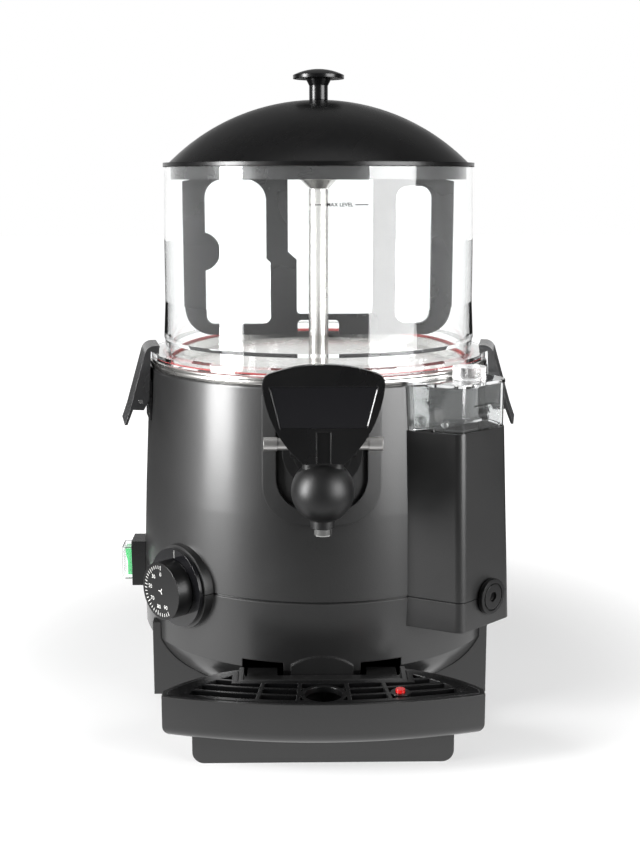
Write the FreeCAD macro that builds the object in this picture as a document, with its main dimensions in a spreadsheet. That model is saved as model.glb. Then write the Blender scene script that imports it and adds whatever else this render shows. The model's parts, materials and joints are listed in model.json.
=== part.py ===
import FreeCAD, Part
import math
import os
import Sketcher

# Hot chocolate dispenser: a clear bowl with a turning gate agitator on a heated drum,
# a tap under the bowl's floor, a water box on the drum's side and a drip tray in front.
# Millimetres. Origin: on the bowl's axis at the ground. +Z up, the tap faces -Y.

SIZES = {
    # fits and gaps
    "clearance": 0.3,
    "running_fit": 0.05,
    "seat_fit": 0.1,
    # drum, from its sole to its top
    "wall": 3.0,
    "seam_height": 97.0,
    "seam_groove": 0.9,
    "seam_gap": 0.5,
    "drum_radius": 136.2,
    "shoulder_height": 157.0,
    "shoulder_radius": 133.9,
    "drum_top": 247.0,
    "drum_top_radius": 129.4,
    "drum_edge": 2.0,
    "knuckle_height": 47.6,
    "knuckle_curve": 52.3,
    "belly_radius": 114.2,
    "belly_height": 22.1,
    "belly_curve": 84.0,
    "sole_radius": 78.3,
    "sole_height": 6.4,
    # raised frame and recess around the tap
    "frame_half": 40.6,
    "frame_bottom": 153.0,
    "frame_corner": 26.0,
    "frame_top": 241.0,
    "frame_rise": 3.0,
    "recess_half": 31.2,
    "recess_bottom": 163.0,
    "recess_corner": 22.0,
    "recess_depth": 1.2,
    # slots and boss in the drum's lower front
    "slot_inner": 27.0,
    "slot_outer": 56.0,
    "slot_bottom": 38.0,
    "slot_top": 53.2,
    "arch_half": 21.7,
    "arch_bottom": 44.0,
    "arch_shoulder": 52.0,
    "arch_curve": 37.0,
    "arch_rise": 1.6,
    # stand behind and under the drum
    "stand_half": 125.0,
    "stand_front": 67.0,
    "stand_back": 206.0,
    "stand_bottom": 3.4,
    "stand_top": 60.0,
    "foot_radius": 12.0,
    "foot_inset": 16.0,
    "foot_bite": 2.0,
    # service cover at the back
    "cover_half": 92.0,
    "cover_start": 90.0,
    "cover_back": 198.0,
    "cover_top": 214.0,
    "cover_wall": 2.5,
    "vent_half": 45.0,
    "vent_height": 4.0,
    "vent_pitch": 11.0,
    "vent_first": 150.0,
    "vent_count": 5,
    "gland_radius": 9.0,
    "gland_side": 60.0,
    "gland_height": 90.0,
    "gland_hex": 11.0,
    "gland_bore": 4.0,
    "terminal_half": 28.0,
    "terminal_depth": 14.0,
    "terminal_height": 18.0,
    "terminal_bottom": 112.0,
    # water bath inside the drum and the dish that closes it
    "bath_radius": 118.5,
    "bath_sheet": 1.2,
    "bath_floor": 168.0,
    "bath_rim_radius": 128.8,
    "bath_rim": 3.9,
    "bath_rim_curve": 2.6,
    "dish_radius": 127.4,
    "dish_sheet": 1.2,
    "dish_land": 109.0,
    "dish_slope": 104.0,
    "dish_depth": 5.0,
    # column, shaft and agitator
    "column_radius": 7.65,
    "column_sheet": 1.6,
    "column_bottom": 158.0,
    "column_top": 377.6,
    "shaft_radius": 4.0,
    "bush_length": 14.0,
    "hub_radius": 14.0,
    "hub_cone": 6.7,
    "hub_top": 392.5,
    "socket_depth": 5.0,
    "gate_half": 104.2,
    "gate_bottom": 263.0,
    "gate_top": 391.0,
    "gate_front": 10.5,
    "gate_sheet": 5.0,
    "gate_corner": 22.0,
    "gate_shoulder": 383.4,
    "gate_shoulder_half": 90.0,
    "gate_shoulder_top": 386.0,
    "left_window_outer": 87.1,
    "left_window_inner": 39.9,
    "left_window_bottom": 271.4,
    "left_window_low_inner": 36.9,
    "left_window_step": 322.0,
    "left_window_round": 15.5,
    "left_window_cut": 13.6,
    "centre_left_upper": 23.4,
    "centre_left_lower": 16.7,
    "centre_step": 327.0,
    "centre_right": 41.8,
    "centre_bottom": 282.1,
    "right_window_inner": 59.8,
    "right_window_outer": 87.0,
    "right_window_bottom": 271.9,
    "right_window_top": 379.8,
    "right_window_round": 9.0,
    "notch_half": 16.1,
    "notch_top": 274.4,
    "bump_radius": 14.8,
    "bump_centre": 90.5,
    "bump_height": 330.2,
    "window_corner": 6.0,
    # gear motor under the bath
    "bracket_half": 85.0,
    "bracket_depth": 42.0,
    "bracket_sheet": 3.0,
    "bracket_bottom": 146.0,
    "pillar_radius": 5.0,
    "pillar_inset": 9.0,
    "gearbox_half": 34.0,
    "gearbox_front": 28.0,
    "gearbox_back": 48.0,
    "gearbox_height": 34.0,
    "motor_radius": 29.0,
    "motor_length": 70.0,
    "motor_back": 14.0,
    "coupling_radius": 9.0,
    "coupling_length": 9.0,
    "coupling_gap": 0.5,
    "screw_radius": 2.0,
    "screw_head": 4.0,
    "screw_cap": 2.5,
    "motor_screw_side": 28.0,
    # heater and cut-out
    "heater_ring": 60.0,
    "heater_rod": 4.2,
    "heater_leg": 3.8,
    "heater_height": 182.0,
    "heater_leg_side": 14.0,
    "heater_leg_bottom": 150.0,
    "nut_radius": 8.5,
    "nut_height": 6.0,
    "cutout_radius": 8.0,
    "cutout_height": 12.0,
    "cutout_side": 62.0,
    "cutout_back": 30.0,
    # bowl, its gasket and the lid
    "gasket_sheet": 1.1,
    "gasket_inner": 111.4,
    "gasket_outer": 119.5,
    "gasket_lip": 1.8,
    "gasket_top": 257.0,
    "flange_radius": 127.5,
    "flange_height": 4.6,
    "bowl_foot_radius": 117.0,
    "bowl_ridge": 268.0,
    "bowl_ridge_radius": 117.8,
    "bowl_low": 295.0,
    "bowl_low_radius": 116.4,
    "bowl_mid": 340.0,
    "bowl_mid_radius": 116.2,
    "bowl_top": 393.4,
    "bowl_top_radius": 115.0,
    "bowl_wall": 2.8,
    "lid_flange_radius": 116.2,
    "lid_flange_height": 3.0,
    "lid_dome_radius": 111.8,
    "lid_curve": 158.6,
    "lid_apex": 442.7,
    "lid_wall": 2.2,
    "lid_skirt_radius": 110.5,
    "lid_skirt_bottom": 384.6,
    "knob_stem": 7.0,
    "knob_radius": 19.0,
    "knob_under": 458.0,
    "knob_edge": 460.6,
    "knob_top": 465.0,
    "knob_neck": 453.0,
    "knob_flare": 9.5,
    "knob_screw_up": 9.0,
    # outlet pipe and tap
    "outlet_radius": 9.0,
    "outlet_bore": 7.5,
    "outlet_back": 85.0,
    "tap_height": 183.0,
    "tap_face": 130.4,
    "tap_reach": 160.0,
    "ball_radius": 21.0,
    "neck_radius": 12.0,
    "tap_flange_radius": 18.0,
    "tap_flange": 5.0,
    "collar_radius": 8.1,
    "collar_bottom": 158.3,
    "nozzle_radius": 5.5,
    "nozzle_bottom": 153.0,
    "nozzle_bore": 4.0,
    "chimney_half": 13.5,
    "chimney_front": 168.6,
    "chimney_back": 148.0,
    "chimney_top": 207.0,
    "chimney_corner": 6.0,
    "valve_bore": 7.0,
    "valve_seat": 168.0,
    "ear_inner": 16.5,
    "ear_outer": 21.5,
    "ear_radius": 9.0,
    "yoke_radius": 27.0,
    "yoke_height": 207.0,
    "yoke_reach": 147.0,
    "yoke_step": 19.5,
    "yoke_step_reach": 152.0,
    "pin_height": 216.0,
    "pin_reach": 167.0,
    "pin_radius": 4.0,
    "pin_half": 38.7,
    "pin_head": 4.5,
    "pin_head_length": 9.0,
    "piston_seal": 5.6,
    "stem_radius": 3.0,
    "stem_top": 226.0,
    "stem_head": 4.5,
    "stem_head_height": 4.0,
    "valve_lift": 3.6,
    "bonnet_bottom": 202.0,
    "bonnet_top": 211.5,
    "spring_radius": 5.8,
    "spring_wire": 0.9,
    # tap lever with its shield
    "shield_back": 177.5,
    "shield_front": 183.5,
    "shield_tip": 205.8,
    "shield_tip_half": 13.3,
    "shield_wide": 256.5,
    "shield_wide_half": 38.9,
    "shield_corner": 264.2,
    "shield_corner_half": 34.6,
    "shield_corner_curve": 7.0,
    "shield_side_curve": 78.0,
    "shield_crown": 104.0,
    "panel_top": 256.0,
    "panel_top_half": 34.4,
    "panel_bottom": 229.3,
    "panel_bottom_half": 27.6,
    "panel_depth": 1.6,
    "panel_sheet": 1.2,
    "shield_groove_half": 4.5,
    "shield_groove_top": 226.8,
    "shield_groove_depth": 1.6,
    "lug_inner": 8.0,
    "lug_radius": 7.5,
    "web_bottom": 209.2,
    "web_top": 224.0,
    "fork_bottom": 217.0,
    "fork_tip": 154.0,
    # bowl latches
    "latch_turn": 79.5,
    "latch_half": 19.0,
    "latch_sheet": 2.4,
    "latch_top_reach": 132.7,
    "latch_top": 264.2,
    "latch_bend": 6.0,
    "hook_reach": 123.2,
    "hook_tip_reach": 124.0,
    "hook_root_reach": 129.8,
    "hook_root": 260.0,
    "latch_low_reach": 146.3,
    "latch_low": 217.0,
    "lip_reach": 150.3,
    "lip_bottom": 205.7,
    "lip_sheet": 2.0,
    "cheek_upper": 240.6,
    "cheek_upper_reach": 130.8,
    "cheek_mid": 224.2,
    "cheek_mid_reach": 131.8,
    "cheek_low": 216.4,
    "cheek_low_reach": 136.0,
    "latch_pin_reach": 138.2,
    "latch_pin_height": 223.0,
    "latch_pin_radius": 1.4,
    "bracket_ear": 3.0,
    "bracket_ear_sheet": 3.0,
    "bracket_plate_half": 15.5,
    "bracket_plate_low": 208.0,
    "bracket_plate_high": 238.0,
    "bracket_plate_out": 2.4,
    # dial
    "dial_turn": 47.0,
    "boss_radius": 30.5,
    "boss_reach": 140.0,
    "bezel_radius": 28.5,
    "bezel_reach": 143.5,
    "dial_radius": 20.8,
    "dial_reach": 156.0,
    "spindle_radius": 3.0,
    "spindle_reach": 152.0,
    "thermostat_half": 16.0,
    "thermostat_back": 96.0,
    "thermostat_front": 122.0,
    "thermostat_nose": 7.8,
    # rocker switch
    "switch_offset": 12.0,
    "switch_height": 92.5,
    "collar_half_width": 11.7,
    "collar_half_height": 17.5,
    "collar_reach": 145.0,
    "switch_half_width": 8.5,
    "switch_half_height": 15.0,
    "switch_back": 116.0,
    "pocket_floor": 138.0,
    "pocket_half_height": 11.6,
    "rocker_half_width": 6.6,
    "rocker_half_height": 10.3,
    "rocker_reach": 150.5,
    "rocker_dip": 1.7,
    "rocker_pivot": 143.0,
    "rocker_pin": 1.5,
    "splash_reach": 152.5,
    "splash_half_width": 10.0,
    "splash_half_height": 12.6,
    "splash_sheet": 0.7,
    # water box
    "box_turn": 43.5,
    "box_bottom": 76.0,
    "box_top": 215.0,
    "box_wall": 1.6,
    "box_low_reach": 168.5,
    "box_low_half": 27.0,
    "box_low_back_half": 46.5,
    "box_high_reach": 162.8,
    "box_high_half": 24.6,
    "box_back": 115.0,
    "box_corner": 7.0,
    "tank_lip": 0.6,
    "tank_bottom": 112.0,
    "tank_top": 246.0,
    "tank_wall": 1.8,
    "tank_back": 137.2,
    "tank_back_half": 31.2,
    "tank_reach": 160.6,
    "tank_half": 22.2,
    "tank_corner": 5.0,
    "tank_lid_sheet": 2.5,
    "cap_reach": 146.0,
    "cap_side": 3.0,
    "cap_radius": 11.5,
    "cap_hole": 6.5,
    "cap_top": 257.5,
    "cap_plug": 6.0,
    "cap_ribs": 12,
    "float_reach": 145.0,
    "float_side": 20.5,
    "float_radius": 5.0,
    "float_seat": 195.0,
    "float_height": 14.0,
    "float_ball": 3.0,
    "float_ball_height": 220.0,
    "float_stem": 1.2,
    "float_stem_bottom": 165.0,
    "guide_radius": 3.6,
    "plug_side": 2.8,
    "plug_radius": 12.7,
    "plug_reach": 172.0,
    "plug_gap": 0.3,
    "plug_ring": 9.5,
    "plug_ring_depth": 1.0,
    "plug_recess": 3.5,
    "plug_recess_depth": 2.5,
    "plug_stem": 6.0,
    "plug_stem_back": 148.0,
    "drain_radius": 8.0,
    "drain_reach": 160.0,
    "drain_drop": 92.0,
    "tank_pipe_radius": 6.0,
    "tank_pipe_bore": 4.5,
    "tank_pipe_height": 182.0,
    # drip tray, its grid and float
    "tray_centre": 152.0,
    "tray_curve": 359.0,
    "tray_half": 106.0,
    "tray_side_back": 182.0,
    "tray_back_curve": 100.0,
    "tray_shoulder_half": 54.0,
    "tray_shoulder": 144.0,
    "tray_back_half": 50.0,
    "tray_back": 139.0,
    "bay_half": 54.0,
    "bay_front": 166.0,
    "tray_bottom": 24.5,
    "tray_top": 53.0,
    "tray_wall": 3.0,
    "tray_round": 8.0,
    "tray_foot_half": 87.7,
    "tray_foot_front": 178.0,
    "tray_foot_back": 100.0,
    "tray_foot_round": 8.0,
    "tray_drum_gap": 1.2,
    "hook_inner": 31.0,
    "hook_outer": 52.0,
    "hook_sheet": 8.0,
    "hook_back": 124.5,
    "grid_sheet": 4.0,
    "grid_edge": 4.0,
    "grid_row": 8.0,
    "grid_rib": 2.2,
    "grid_first": 352.0,
    "grid_rows": 4,
    "spoke_inner": 2.75,
    "spoke_outer": 7.1,
    "spoke_side": 14.8,
    "spoke_half": 1.3,
    "finger_radius": 12.7,
    "finger_rim": 2.6,
    "finger_reach": 189.5,
    "mark_side": 50.5,
    "mark_reach": 186.5,
    "mark_radius": 3.1,
    "mark_top": 55.5,
    "mark_seat": 6.5,
    "mark_disc": 9.0,
    "mark_disc_height": 5.0,
}

doc = FreeCAD.newDocument("hot_chocolate_dispenser")
sheet = doc.addObject("Spreadsheet::Sheet", "sizes")
for row, (alias, number) in enumerate(SIZES.items(), start=1):
    sheet.set(f"A{row}", alias)
    sheet.set(f"B{row}", str(number))
    sheet.setAlias(f"B{row}", alias)
doc.recompute()


class Size:
    """A length or angle: the expression that gives it, and its present number."""

    def __init__(self, text, number):
        self.text = text
        self.number = number

    def __add__(self, other):
        other = as_size(other)
        return Size(f"({self.text} + {other.text})", self.number + other.number)

    def __sub__(self, other):
        other = as_size(other)
        return Size(f"({self.text} - {other.text})", self.number - other.number)

    def __mul__(self, other):
        other = as_size(other)
        return Size(f"({self.text} * {other.text})", self.number * other.number)

    def __truediv__(self, other):
        other = as_size(other)
        return Size(f"({self.text} / {other.text})", self.number / other.number)

    def __neg__(self):
        return Size(f"(-1 * {self.text})", -self.number)


def as_size(value):
    if isinstance(value, Size):
        return value
    return Size(f"{value}", float(value))


def root(value):
    return Size(f"sqrt({value.text})", math.sqrt(value.number))


class Named:
    """The sheet's sizes, read by name."""

    def __getattr__(self, alias):
        return Size(f"sizes.{alias}", float(SIZES[alias]))


d = Named()
nodes = {}


def bind(thing, **bound):
    for prop, value in bound.items():
        thing.setExpression(prop, as_size(value).text)


def pose(thing, x=0, y=0, z=0, axis=(0, 0, 1), tilt=0, turn=None):
    """Place a thing at x, y, z, tilted about an axis, then turned about the drum's axis."""
    x, y, z, tilt = (as_size(v).text for v in (x, y, z, tilt))
    spin = "rotation(vector({}; {}; {}); {})"
    text = f"placement(vector({x}; {y}; {z}); {spin.format(*axis, tilt)})"
    if turn is not None:
        about = spin.format(0, 0, 1, as_size(turn).text)
        text = f"placement(vector(0; 0; 0); {about}) * {text}"
    thing.setExpression("Placement", text)
    return thing


def node(name, thing):
    thing.Label = name
    nodes[name] = thing
    return thing


def cylinder(name, radius, low, high, x=0, y=0, turn=None):
    """An upright cylinder."""
    thing = doc.addObject("Part::Cylinder", name)
    bind(thing, Radius=radius, Height=as_size(high) - low)
    return pose(thing, x, y, low, turn=turn)


def cone(name, low_radius, high_radius, low, high, x=0, y=0, turn=None):
    thing = doc.addObject("Part::Cone", name)
    bind(thing, Radius1=low_radius, Radius2=high_radius, Height=as_size(high) - low)
    return pose(thing, x, y, low, turn=turn)


def rod(name, radius, near, far, z, x=0, turn=None):
    """A cylinder that points outwards, from one reach to another."""
    thing = doc.addObject("Part::Cylinder", name)
    bind(thing, Radius=radius, Height=as_size(far) - near)
    return pose(thing, x, -as_size(near), z, (1, 0, 0), 90, turn)


def crossbar(name, radius, left, right, reach, z, turn=None):
    """A cylinder that lies across, from left to right."""
    thing = doc.addObject("Part::Cylinder", name)
    bind(thing, Radius=radius, Height=as_size(right) - left)
    return pose(thing, left, -as_size(reach), z, (0, 1, 0), 90, turn)


def block(name, left, right, near, far, low, high, turn=None):
    """A box from near to far outwards, where outwards is -Y before its turn."""
    thing = doc.addObject("Part::Box", name)
    bind(thing, Length=as_size(right) - left, Width=as_size(far) - near)
    bind(thing, Height=as_size(high) - low)
    return pose(thing, left, -as_size(far), low, turn=turn)


def ball(name, radius, x, reach, z, turn=None):
    thing = doc.addObject("Part::Sphere", name)
    bind(thing, Radius=radius)
    return pose(thing, x, -as_size(reach), z, turn=turn)


def fuse(name, *parts):
    thing = doc.addObject("Part::MultiFuse", name)
    thing.Shapes = list(parts)
    return thing


def cut(name, base, *tools):
    tool = tools[0] if len(tools) == 1 else fuse(name + "_tools", *tools)
    thing = doc.addObject("Part::Cut", name)
    thing.Base = base
    thing.Tool = tool
    return thing


def common(name, *parts):
    thing = doc.addObject("Part::MultiCommon", name)
    thing.Shapes = list(parts)
    return thing


def group(name, *parts):
    """Alike pieces that stay separate solids."""
    thing = doc.addObject("Part::Compound", name)
    thing.Links = list(parts)
    return thing


def plane_of(body, role):
    return next(f for f in body.Origin.OriginFeatures if f.Role == role)


def arc_between(start, end, radius, side):
    """The arc from start to end that bulges to the left (1) or right (-1) of the way."""
    span = end - start
    half = span.Length / 2
    rise = math.sqrt(max(radius * radius - half * half, 0.0))
    normal = FreeCAD.Vector(-span.y, span.x, 0).normalize() * side
    centre = (start + end) * 0.5 - normal * rise
    middle = centre + normal * radius
    return Part.Arc(start, middle, end)


def sketch(body, name, role, outline, offset=0):
    """A closed outline whose corners and arc radii are all bound to sizes."""
    flat = body.newObject("Sketcher::SketchObject", name)
    flat.AttachmentSupport = [(plane_of(body, role), "")]
    flat.MapMode = "FlatFace"
    flat.setExpression("AttachmentOffset.Base.z", as_size(offset).text)
    corners = [(as_size(p[0]), as_size(p[1])) for p in outline]
    spots = [FreeCAD.Vector(x.number, y.number, 0) for x, y in corners]
    ends = []
    for index, point in enumerate(outline):
        start = spots[index - 1]
        end = spots[index]
        if len(point) == 2:
            flat.addGeometry(Part.LineSegment(start, end))
            ends.append((1, 2))
            continue
        flat.addGeometry(arc_between(start, end, as_size(point[2]).number, point[3]))
        forwards = flat.Geometry[-1].StartPoint.distanceToPoint(start) < 0.001
        ends.append((1, 2) if forwards else (2, 1))
    for index in range(len(outline)):
        after = (index + 1) % len(outline)
        flat.addConstraint(
            Sketcher.Constraint("Coincident", index, ends[index][1], after, ends[after][0])
        )
    for index, (x, y) in enumerate(corners):
        for kind, value, axis in (("DistanceX", x, -2), ("DistanceY", y, -1)):
            spot = (index, ends[index][1])
            if value.text == "0":
                flat.addConstraint(Sketcher.Constraint("PointOnObject", *spot, axis))
                continue
            key = flat.addConstraint(Sketcher.Constraint(kind, -1, 1, *spot, value.number))
            flat.renameConstraint(key, f"{kind}{index}")
            flat.setExpression(f"Constraints.{kind}{index}", value.text)
    for index, point in enumerate(outline):
        if len(point) > 2:
            radius = as_size(point[2])
            key = flat.addConstraint(Sketcher.Constraint("Radius", index, radius.number))
            flat.renameConstraint(key, f"Curve{index}")
            flat.setExpression(f"Constraints.Curve{index}", radius.text)
    return flat


def turned(name, outline):
    """A body turned about the upright axis from its half section (radius, height)."""
    body = doc.addObject("PartDesign::Body", name)
    section = sketch(body, name + "_section", "XZ_Plane", outline)
    spin = body.newObject("PartDesign::Revolution", name + "_turned")
    spin.Profile = section
    spin.ReferenceAxis = (section, ["V_Axis"])
    spin.Angle = 360
    return body


def pushed(name, role, outline, start, end):
    """A body pushed along its plane's normal: outwards (XZ), up (XY) or across (YZ)."""
    body = doc.addObject("PartDesign::Body", name)
    section = sketch(body, name + "_section", role, outline, start)
    pad = body.newObject("PartDesign::Pad", name + "_pushed")
    pad.Profile = section
    pad.setExpression("Length", (as_size(end) - start).text)
    return body


def rounded(body, radius, wanted):
    """Round the edges that the test picks on the body's last feature."""
    doc.recompute()
    last = body.Tip
    edges = [f"Edge{i}" for i, edge in enumerate(last.Shape.Edges, 1) if wanted(edge)]
    fillet = body.newObject("PartDesign::Fillet", body.Name + "_rounded")
    fillet.Base = (last, edges)
    fillet.setExpression("Radius", as_size(radius).text)
    return body


def upright(edge):
    start, end = edge.Vertexes[0].Point, edge.Vertexes[-1].Point
    return abs(end.z - start.z) > 0.9 * edge.Length and edge.Length > 1


def drum_outline(grow):
    """Half section of the drum's outside, grown outwards."""
    return [
        (0, d.sole_height - grow),
        (d.sole_radius, d.sole_height - grow),
        (d.belly_radius + grow, d.belly_height - grow, d.belly_curve, -1),
        (d.drum_radius + grow, d.knuckle_height, d.knuckle_curve, -1),
        (d.drum_radius + grow, d.seam_height + d.seam_groove),
        (d.shoulder_radius + grow, d.shoulder_height),
        (d.drum_top_radius + grow, d.drum_top),
        (0, d.drum_top),
    ]


def u_outline(half, bottom, corner, top):
    return [
        (-half, top),
        (-half, bottom + corner),
        (-(half - corner), bottom, corner, -1),
        (half - corner, bottom),
        (half, bottom + corner, corner, -1),
        (half, top),
    ]


drum_solid = turned("drum_solid", drum_outline(as_size(0)))
drum_clear = turned("drum_clear", drum_outline(d.clearance))
upper_space = block(
    "upper_space", -d.box_low_reach * 2, d.box_low_reach * 2,
    -d.box_low_reach * 2, d.box_low_reach * 2, d.seam_height + d.seam_gap, d.lid_apex,
)
lower_space = block(
    "lower_space", -d.box_low_reach * 2, d.box_low_reach * 2,
    -d.box_low_reach * 2, d.box_low_reach * 2, -d.seam_height, d.seam_height,
)


# ---- walls of the water box, which are moulded in one with the two drum halves
def box_section(reach, half, back_half, corner):
    """The box's plan: wide at the drum, narrow outside, its outer corners rounded."""
    run = back_half - half
    rise = reach - d.box_back
    side = root(run * run + rise * rise)
    tangent = corner * ((side - run) / rise)
    across = half + tangent * (run / side)
    out = reach - tangent * (rise / side)
    return [
        (-back_half, -d.box_back),
        (-across, -out),
        (-(half - tangent), -reach, corner, -1),
        (half - tangent, -reach),
        (across, -out, corner, -1),
        (back_half, -d.box_back),
    ]


box_share = (d.box_high_reach - d.box_back) / (d.box_low_reach - d.box_back)
box_high_back = d.box_high_half + (d.box_low_back_half - d.box_low_half) * box_share


def box_loft(name, inset, low, high):
    """The box narrows upwards, and its sides stay flat."""
    corner = d.box_corner - inset
    low_reach = d.box_low_reach - inset
    high_reach = d.box_high_reach - inset
    low_half = d.box_low_half - inset
    high_half = d.box_high_half - inset
    low_back = d.box_low_back_half - inset
    share = (high_reach - d.box_back) / (low_reach - d.box_back)
    high_back = high_half + (low_back - low_half) * share
    body = doc.addObject("PartDesign::Body", name)
    base = sketch(
        body, name + "_base", "XY_Plane", box_section(low_reach, low_half, low_back, corner),
        low,
    )
    top = sketch(
        body, name + "_top", "XY_Plane",
        box_section(high_reach, high_half, high_back, corner), high,
    )
    loft = body.newObject("PartDesign::AdditiveLoft", name + "_loft")
    loft.Profile = base
    loft.Sections = [top]
    loft.Ruled = True
    return pose(body, turn=d.box_turn)


box_outside = box_loft("box_outside", as_size(0), d.box_bottom, d.box_top)
box_inside = box_loft(
    "box_inside", d.box_wall, d.box_bottom + d.box_wall, d.box_top + d.box_wall,
)
plug_hole = rod(
    "plug_hole", d.drain_radius + d.clearance, d.tank_back, d.plug_reach,
    d.seam_height, d.plug_side, d.box_turn,
)
box_hollow = cut("box_hollow", box_outside, box_inside)
box_walls = cut("box_walls", cut("box_on_drum", box_hollow, drum_solid), plug_hole)
box_upper = common("box_upper", box_walls, upper_space)
box_lower = common("box_lower", box_walls, lower_space)

# ---- boss behind the dial, also split at the seam
boss_blank = rod(
    "boss_blank", d.boss_radius, d.drum_radius - d.boss_radius, d.boss_reach,
    d.seam_height, turn=-d.dial_turn,
)
boss = cut("boss", boss_blank, drum_solid)
boss_upper = common("boss_upper", boss, upper_space)
boss_lower = common("boss_lower", boss, lower_space)

# ---- holes shared by both halves
dial_hole = rod(
    "dial_hole", d.thermostat_nose + d.seat_fit, d.thermostat_front, d.dial_reach,
    d.seam_height, turn=-d.dial_turn,
)
switch_hole = block(
    "switch_hole", d.switch_offset - d.switch_half_width - d.seat_fit,
    d.switch_offset + d.switch_half_width + d.seat_fit,
    d.switch_back, d.collar_reach,
    d.switch_height - d.switch_half_height - d.seat_fit,
    d.switch_height + d.switch_half_height + d.seat_fit, turn=-90,
)
drain_hole = rod(
    "drain_hole", d.drain_radius + d.seat_fit, d.bath_radius, d.box_high_reach - d.box_corner,
    d.seam_height, d.plug_side, d.box_turn,
)

# ---- upper half of the drum
upper_shell = turned("upper_shell", [
    (d.drum_radius - d.seam_groove, d.seam_height),
    (d.drum_radius, d.seam_height + d.seam_groove),
    (d.shoulder_radius, d.shoulder_height),
    (d.drum_top_radius, d.drum_top - d.drum_edge),
    (d.drum_top_radius - d.drum_edge, d.drum_top, d.drum_edge, -1),
    (d.bath_radius + d.seat_fit, d.drum_top),
    (d.bath_radius + d.seat_fit, d.drum_top - d.wall),
    (d.drum_top_radius - d.wall, d.drum_top - d.wall),
    (d.shoulder_radius - d.wall, d.shoulder_height),
    (d.drum_radius - d.wall, d.seam_height),
])
frame_outer = pushed(
    "frame_outer", "XZ_Plane",
    u_outline(d.frame_half, d.frame_bottom, d.frame_corner, d.frame_top),
    d.bath_radius, d.drum_radius + d.frame_rise,
)
frame_inner = pushed(
    "frame_inner", "XZ_Plane",
    u_outline(d.recess_half, d.recess_bottom, d.recess_corner, d.frame_top + d.wall),
    d.bath_radius - d.wall, d.drum_radius + d.frame_rise * 2,
)
drum_raised = turned("drum_raised", drum_outline(d.frame_rise))
drum_sunk = turned("drum_sunk", drum_outline(-d.recess_depth))
frame_ring = cut("frame_ring", frame_outer, frame_inner)
frame_rib = cut("frame_rib", common("frame_on_drum", frame_ring, drum_raised), drum_solid)
recess = cut("recess", frame_inner, drum_sunk)
tap_hole = rod(
    "tap_hole", d.neck_radius + d.seat_fit, d.bath_radius, d.tap_reach, d.tap_height,
)
tank_pipe_hole = rod(
    "tank_pipe_hole", d.tank_pipe_radius + d.seat_fit, d.bath_radius, d.tank_back,
    d.tank_pipe_height, turn=d.box_turn,
)
node("upper_housing", cut(
    "upper_housing", fuse("upper_mould", upper_shell, box_upper, boss_upper, frame_rib),
    recess, tap_hole, tank_pipe_hole, dial_hole, switch_hole, drain_hole,
))

# ---- lower half of the drum
lower_outside = turned("lower_outside", [
    (0, d.sole_height),
    (d.sole_radius, d.sole_height),
    (d.belly_radius, d.belly_height, d.belly_curve, -1),
    (d.drum_radius, d.knuckle_height, d.knuckle_curve, -1),
    (d.drum_radius, d.seam_height - d.seam_groove),
    (d.drum_radius - d.seam_groove, d.seam_height),
    (0, d.seam_height),
])
lower_inside = turned("lower_inside", [
    (0, d.sole_height + d.wall),
    (d.sole_radius, d.sole_height + d.wall),
    (d.belly_radius - d.wall / 2, d.belly_height + d.wall, d.belly_curve - d.wall, -1),
    (d.drum_radius - d.wall, d.knuckle_height, d.knuckle_curve - d.wall, -1),
    (d.drum_radius - d.wall, d.seam_height + d.wall),
    (0, d.seam_height + d.wall),
])
lower_shell = cut("lower_shell", lower_outside, lower_inside)
hook_slots = [
    block(
        f"hook_slot_{side}", left, right, d.belly_radius, d.drum_radius + d.wall,
        d.slot_bottom, d.slot_top,
    )
    for side, left, right in (
        ("left", -d.slot_outer, -d.slot_inner), ("right", d.slot_inner, d.slot_outer),
    )
]
arch_block = pushed("arch_block", "XZ_Plane", [
    (-d.arch_half, d.arch_bottom),
    (d.arch_half, d.arch_bottom),
    (d.arch_half, d.arch_shoulder),
    (-d.arch_half, d.arch_shoulder, d.arch_curve, -1),
], d.belly_radius, d.drum_radius + d.arch_rise)
arch = cut("arch", arch_block, drum_solid)
screw_spots = [
    (f"{lengthways}_{across}", d.sole_radius * x / 2, d.sole_radius * y / 2)
    for across, x in (("left", -1), ("right", 1))
    for lengthways, y in (("front", -1), ("back", 1))
]
sole_screw_holes = [
    cylinder(
        f"sole_screw_hole_{spot}", d.screw_radius, d.stand_bottom - d.screw_cap,
        d.sole_height + d.wall, x, y,
    )
    for spot, x, y in screw_spots
]
node("lower_housing", cut(
    "lower_housing", fuse("lower_mould", lower_shell, box_lower, boss_lower, arch),
    *hook_slots, *sole_screw_holes, dial_hole, switch_hole, drain_hole,
))

# ---- stand, feet and the screws that hold the drum down
stand_outside = block(
    "stand_outside", -d.stand_half, d.stand_half, -d.stand_back, d.stand_front,
    d.stand_bottom, d.stand_top,
)
stand_inside = block(
    "stand_inside", -(d.stand_half - d.wall), d.stand_half - d.wall,
    -(d.stand_back - d.wall), d.stand_front - d.wall, d.sole_height, d.stand_top - d.wall,
)
foot_spots = [
    (f"{lengthways}_{across}", (d.stand_half - d.foot_inset) * side, y)
    for across, side in (("left", -1), ("right", 1))
    for lengthways, y in (
        ("front", -(d.stand_front - d.foot_inset)), ("back", d.stand_back - d.foot_inset),
    )
]
foot_holes = [
    cylinder(
        f"foot_hole_{spot}", d.foot_radius / 2, d.stand_bottom, d.sole_height, x, y,
    )
    for spot, x, y in foot_spots
]
node("rear_stand", cut(
    "rear_stand", stand_outside, stand_inside, drum_clear, *foot_holes, *sole_screw_holes,
))
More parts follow.
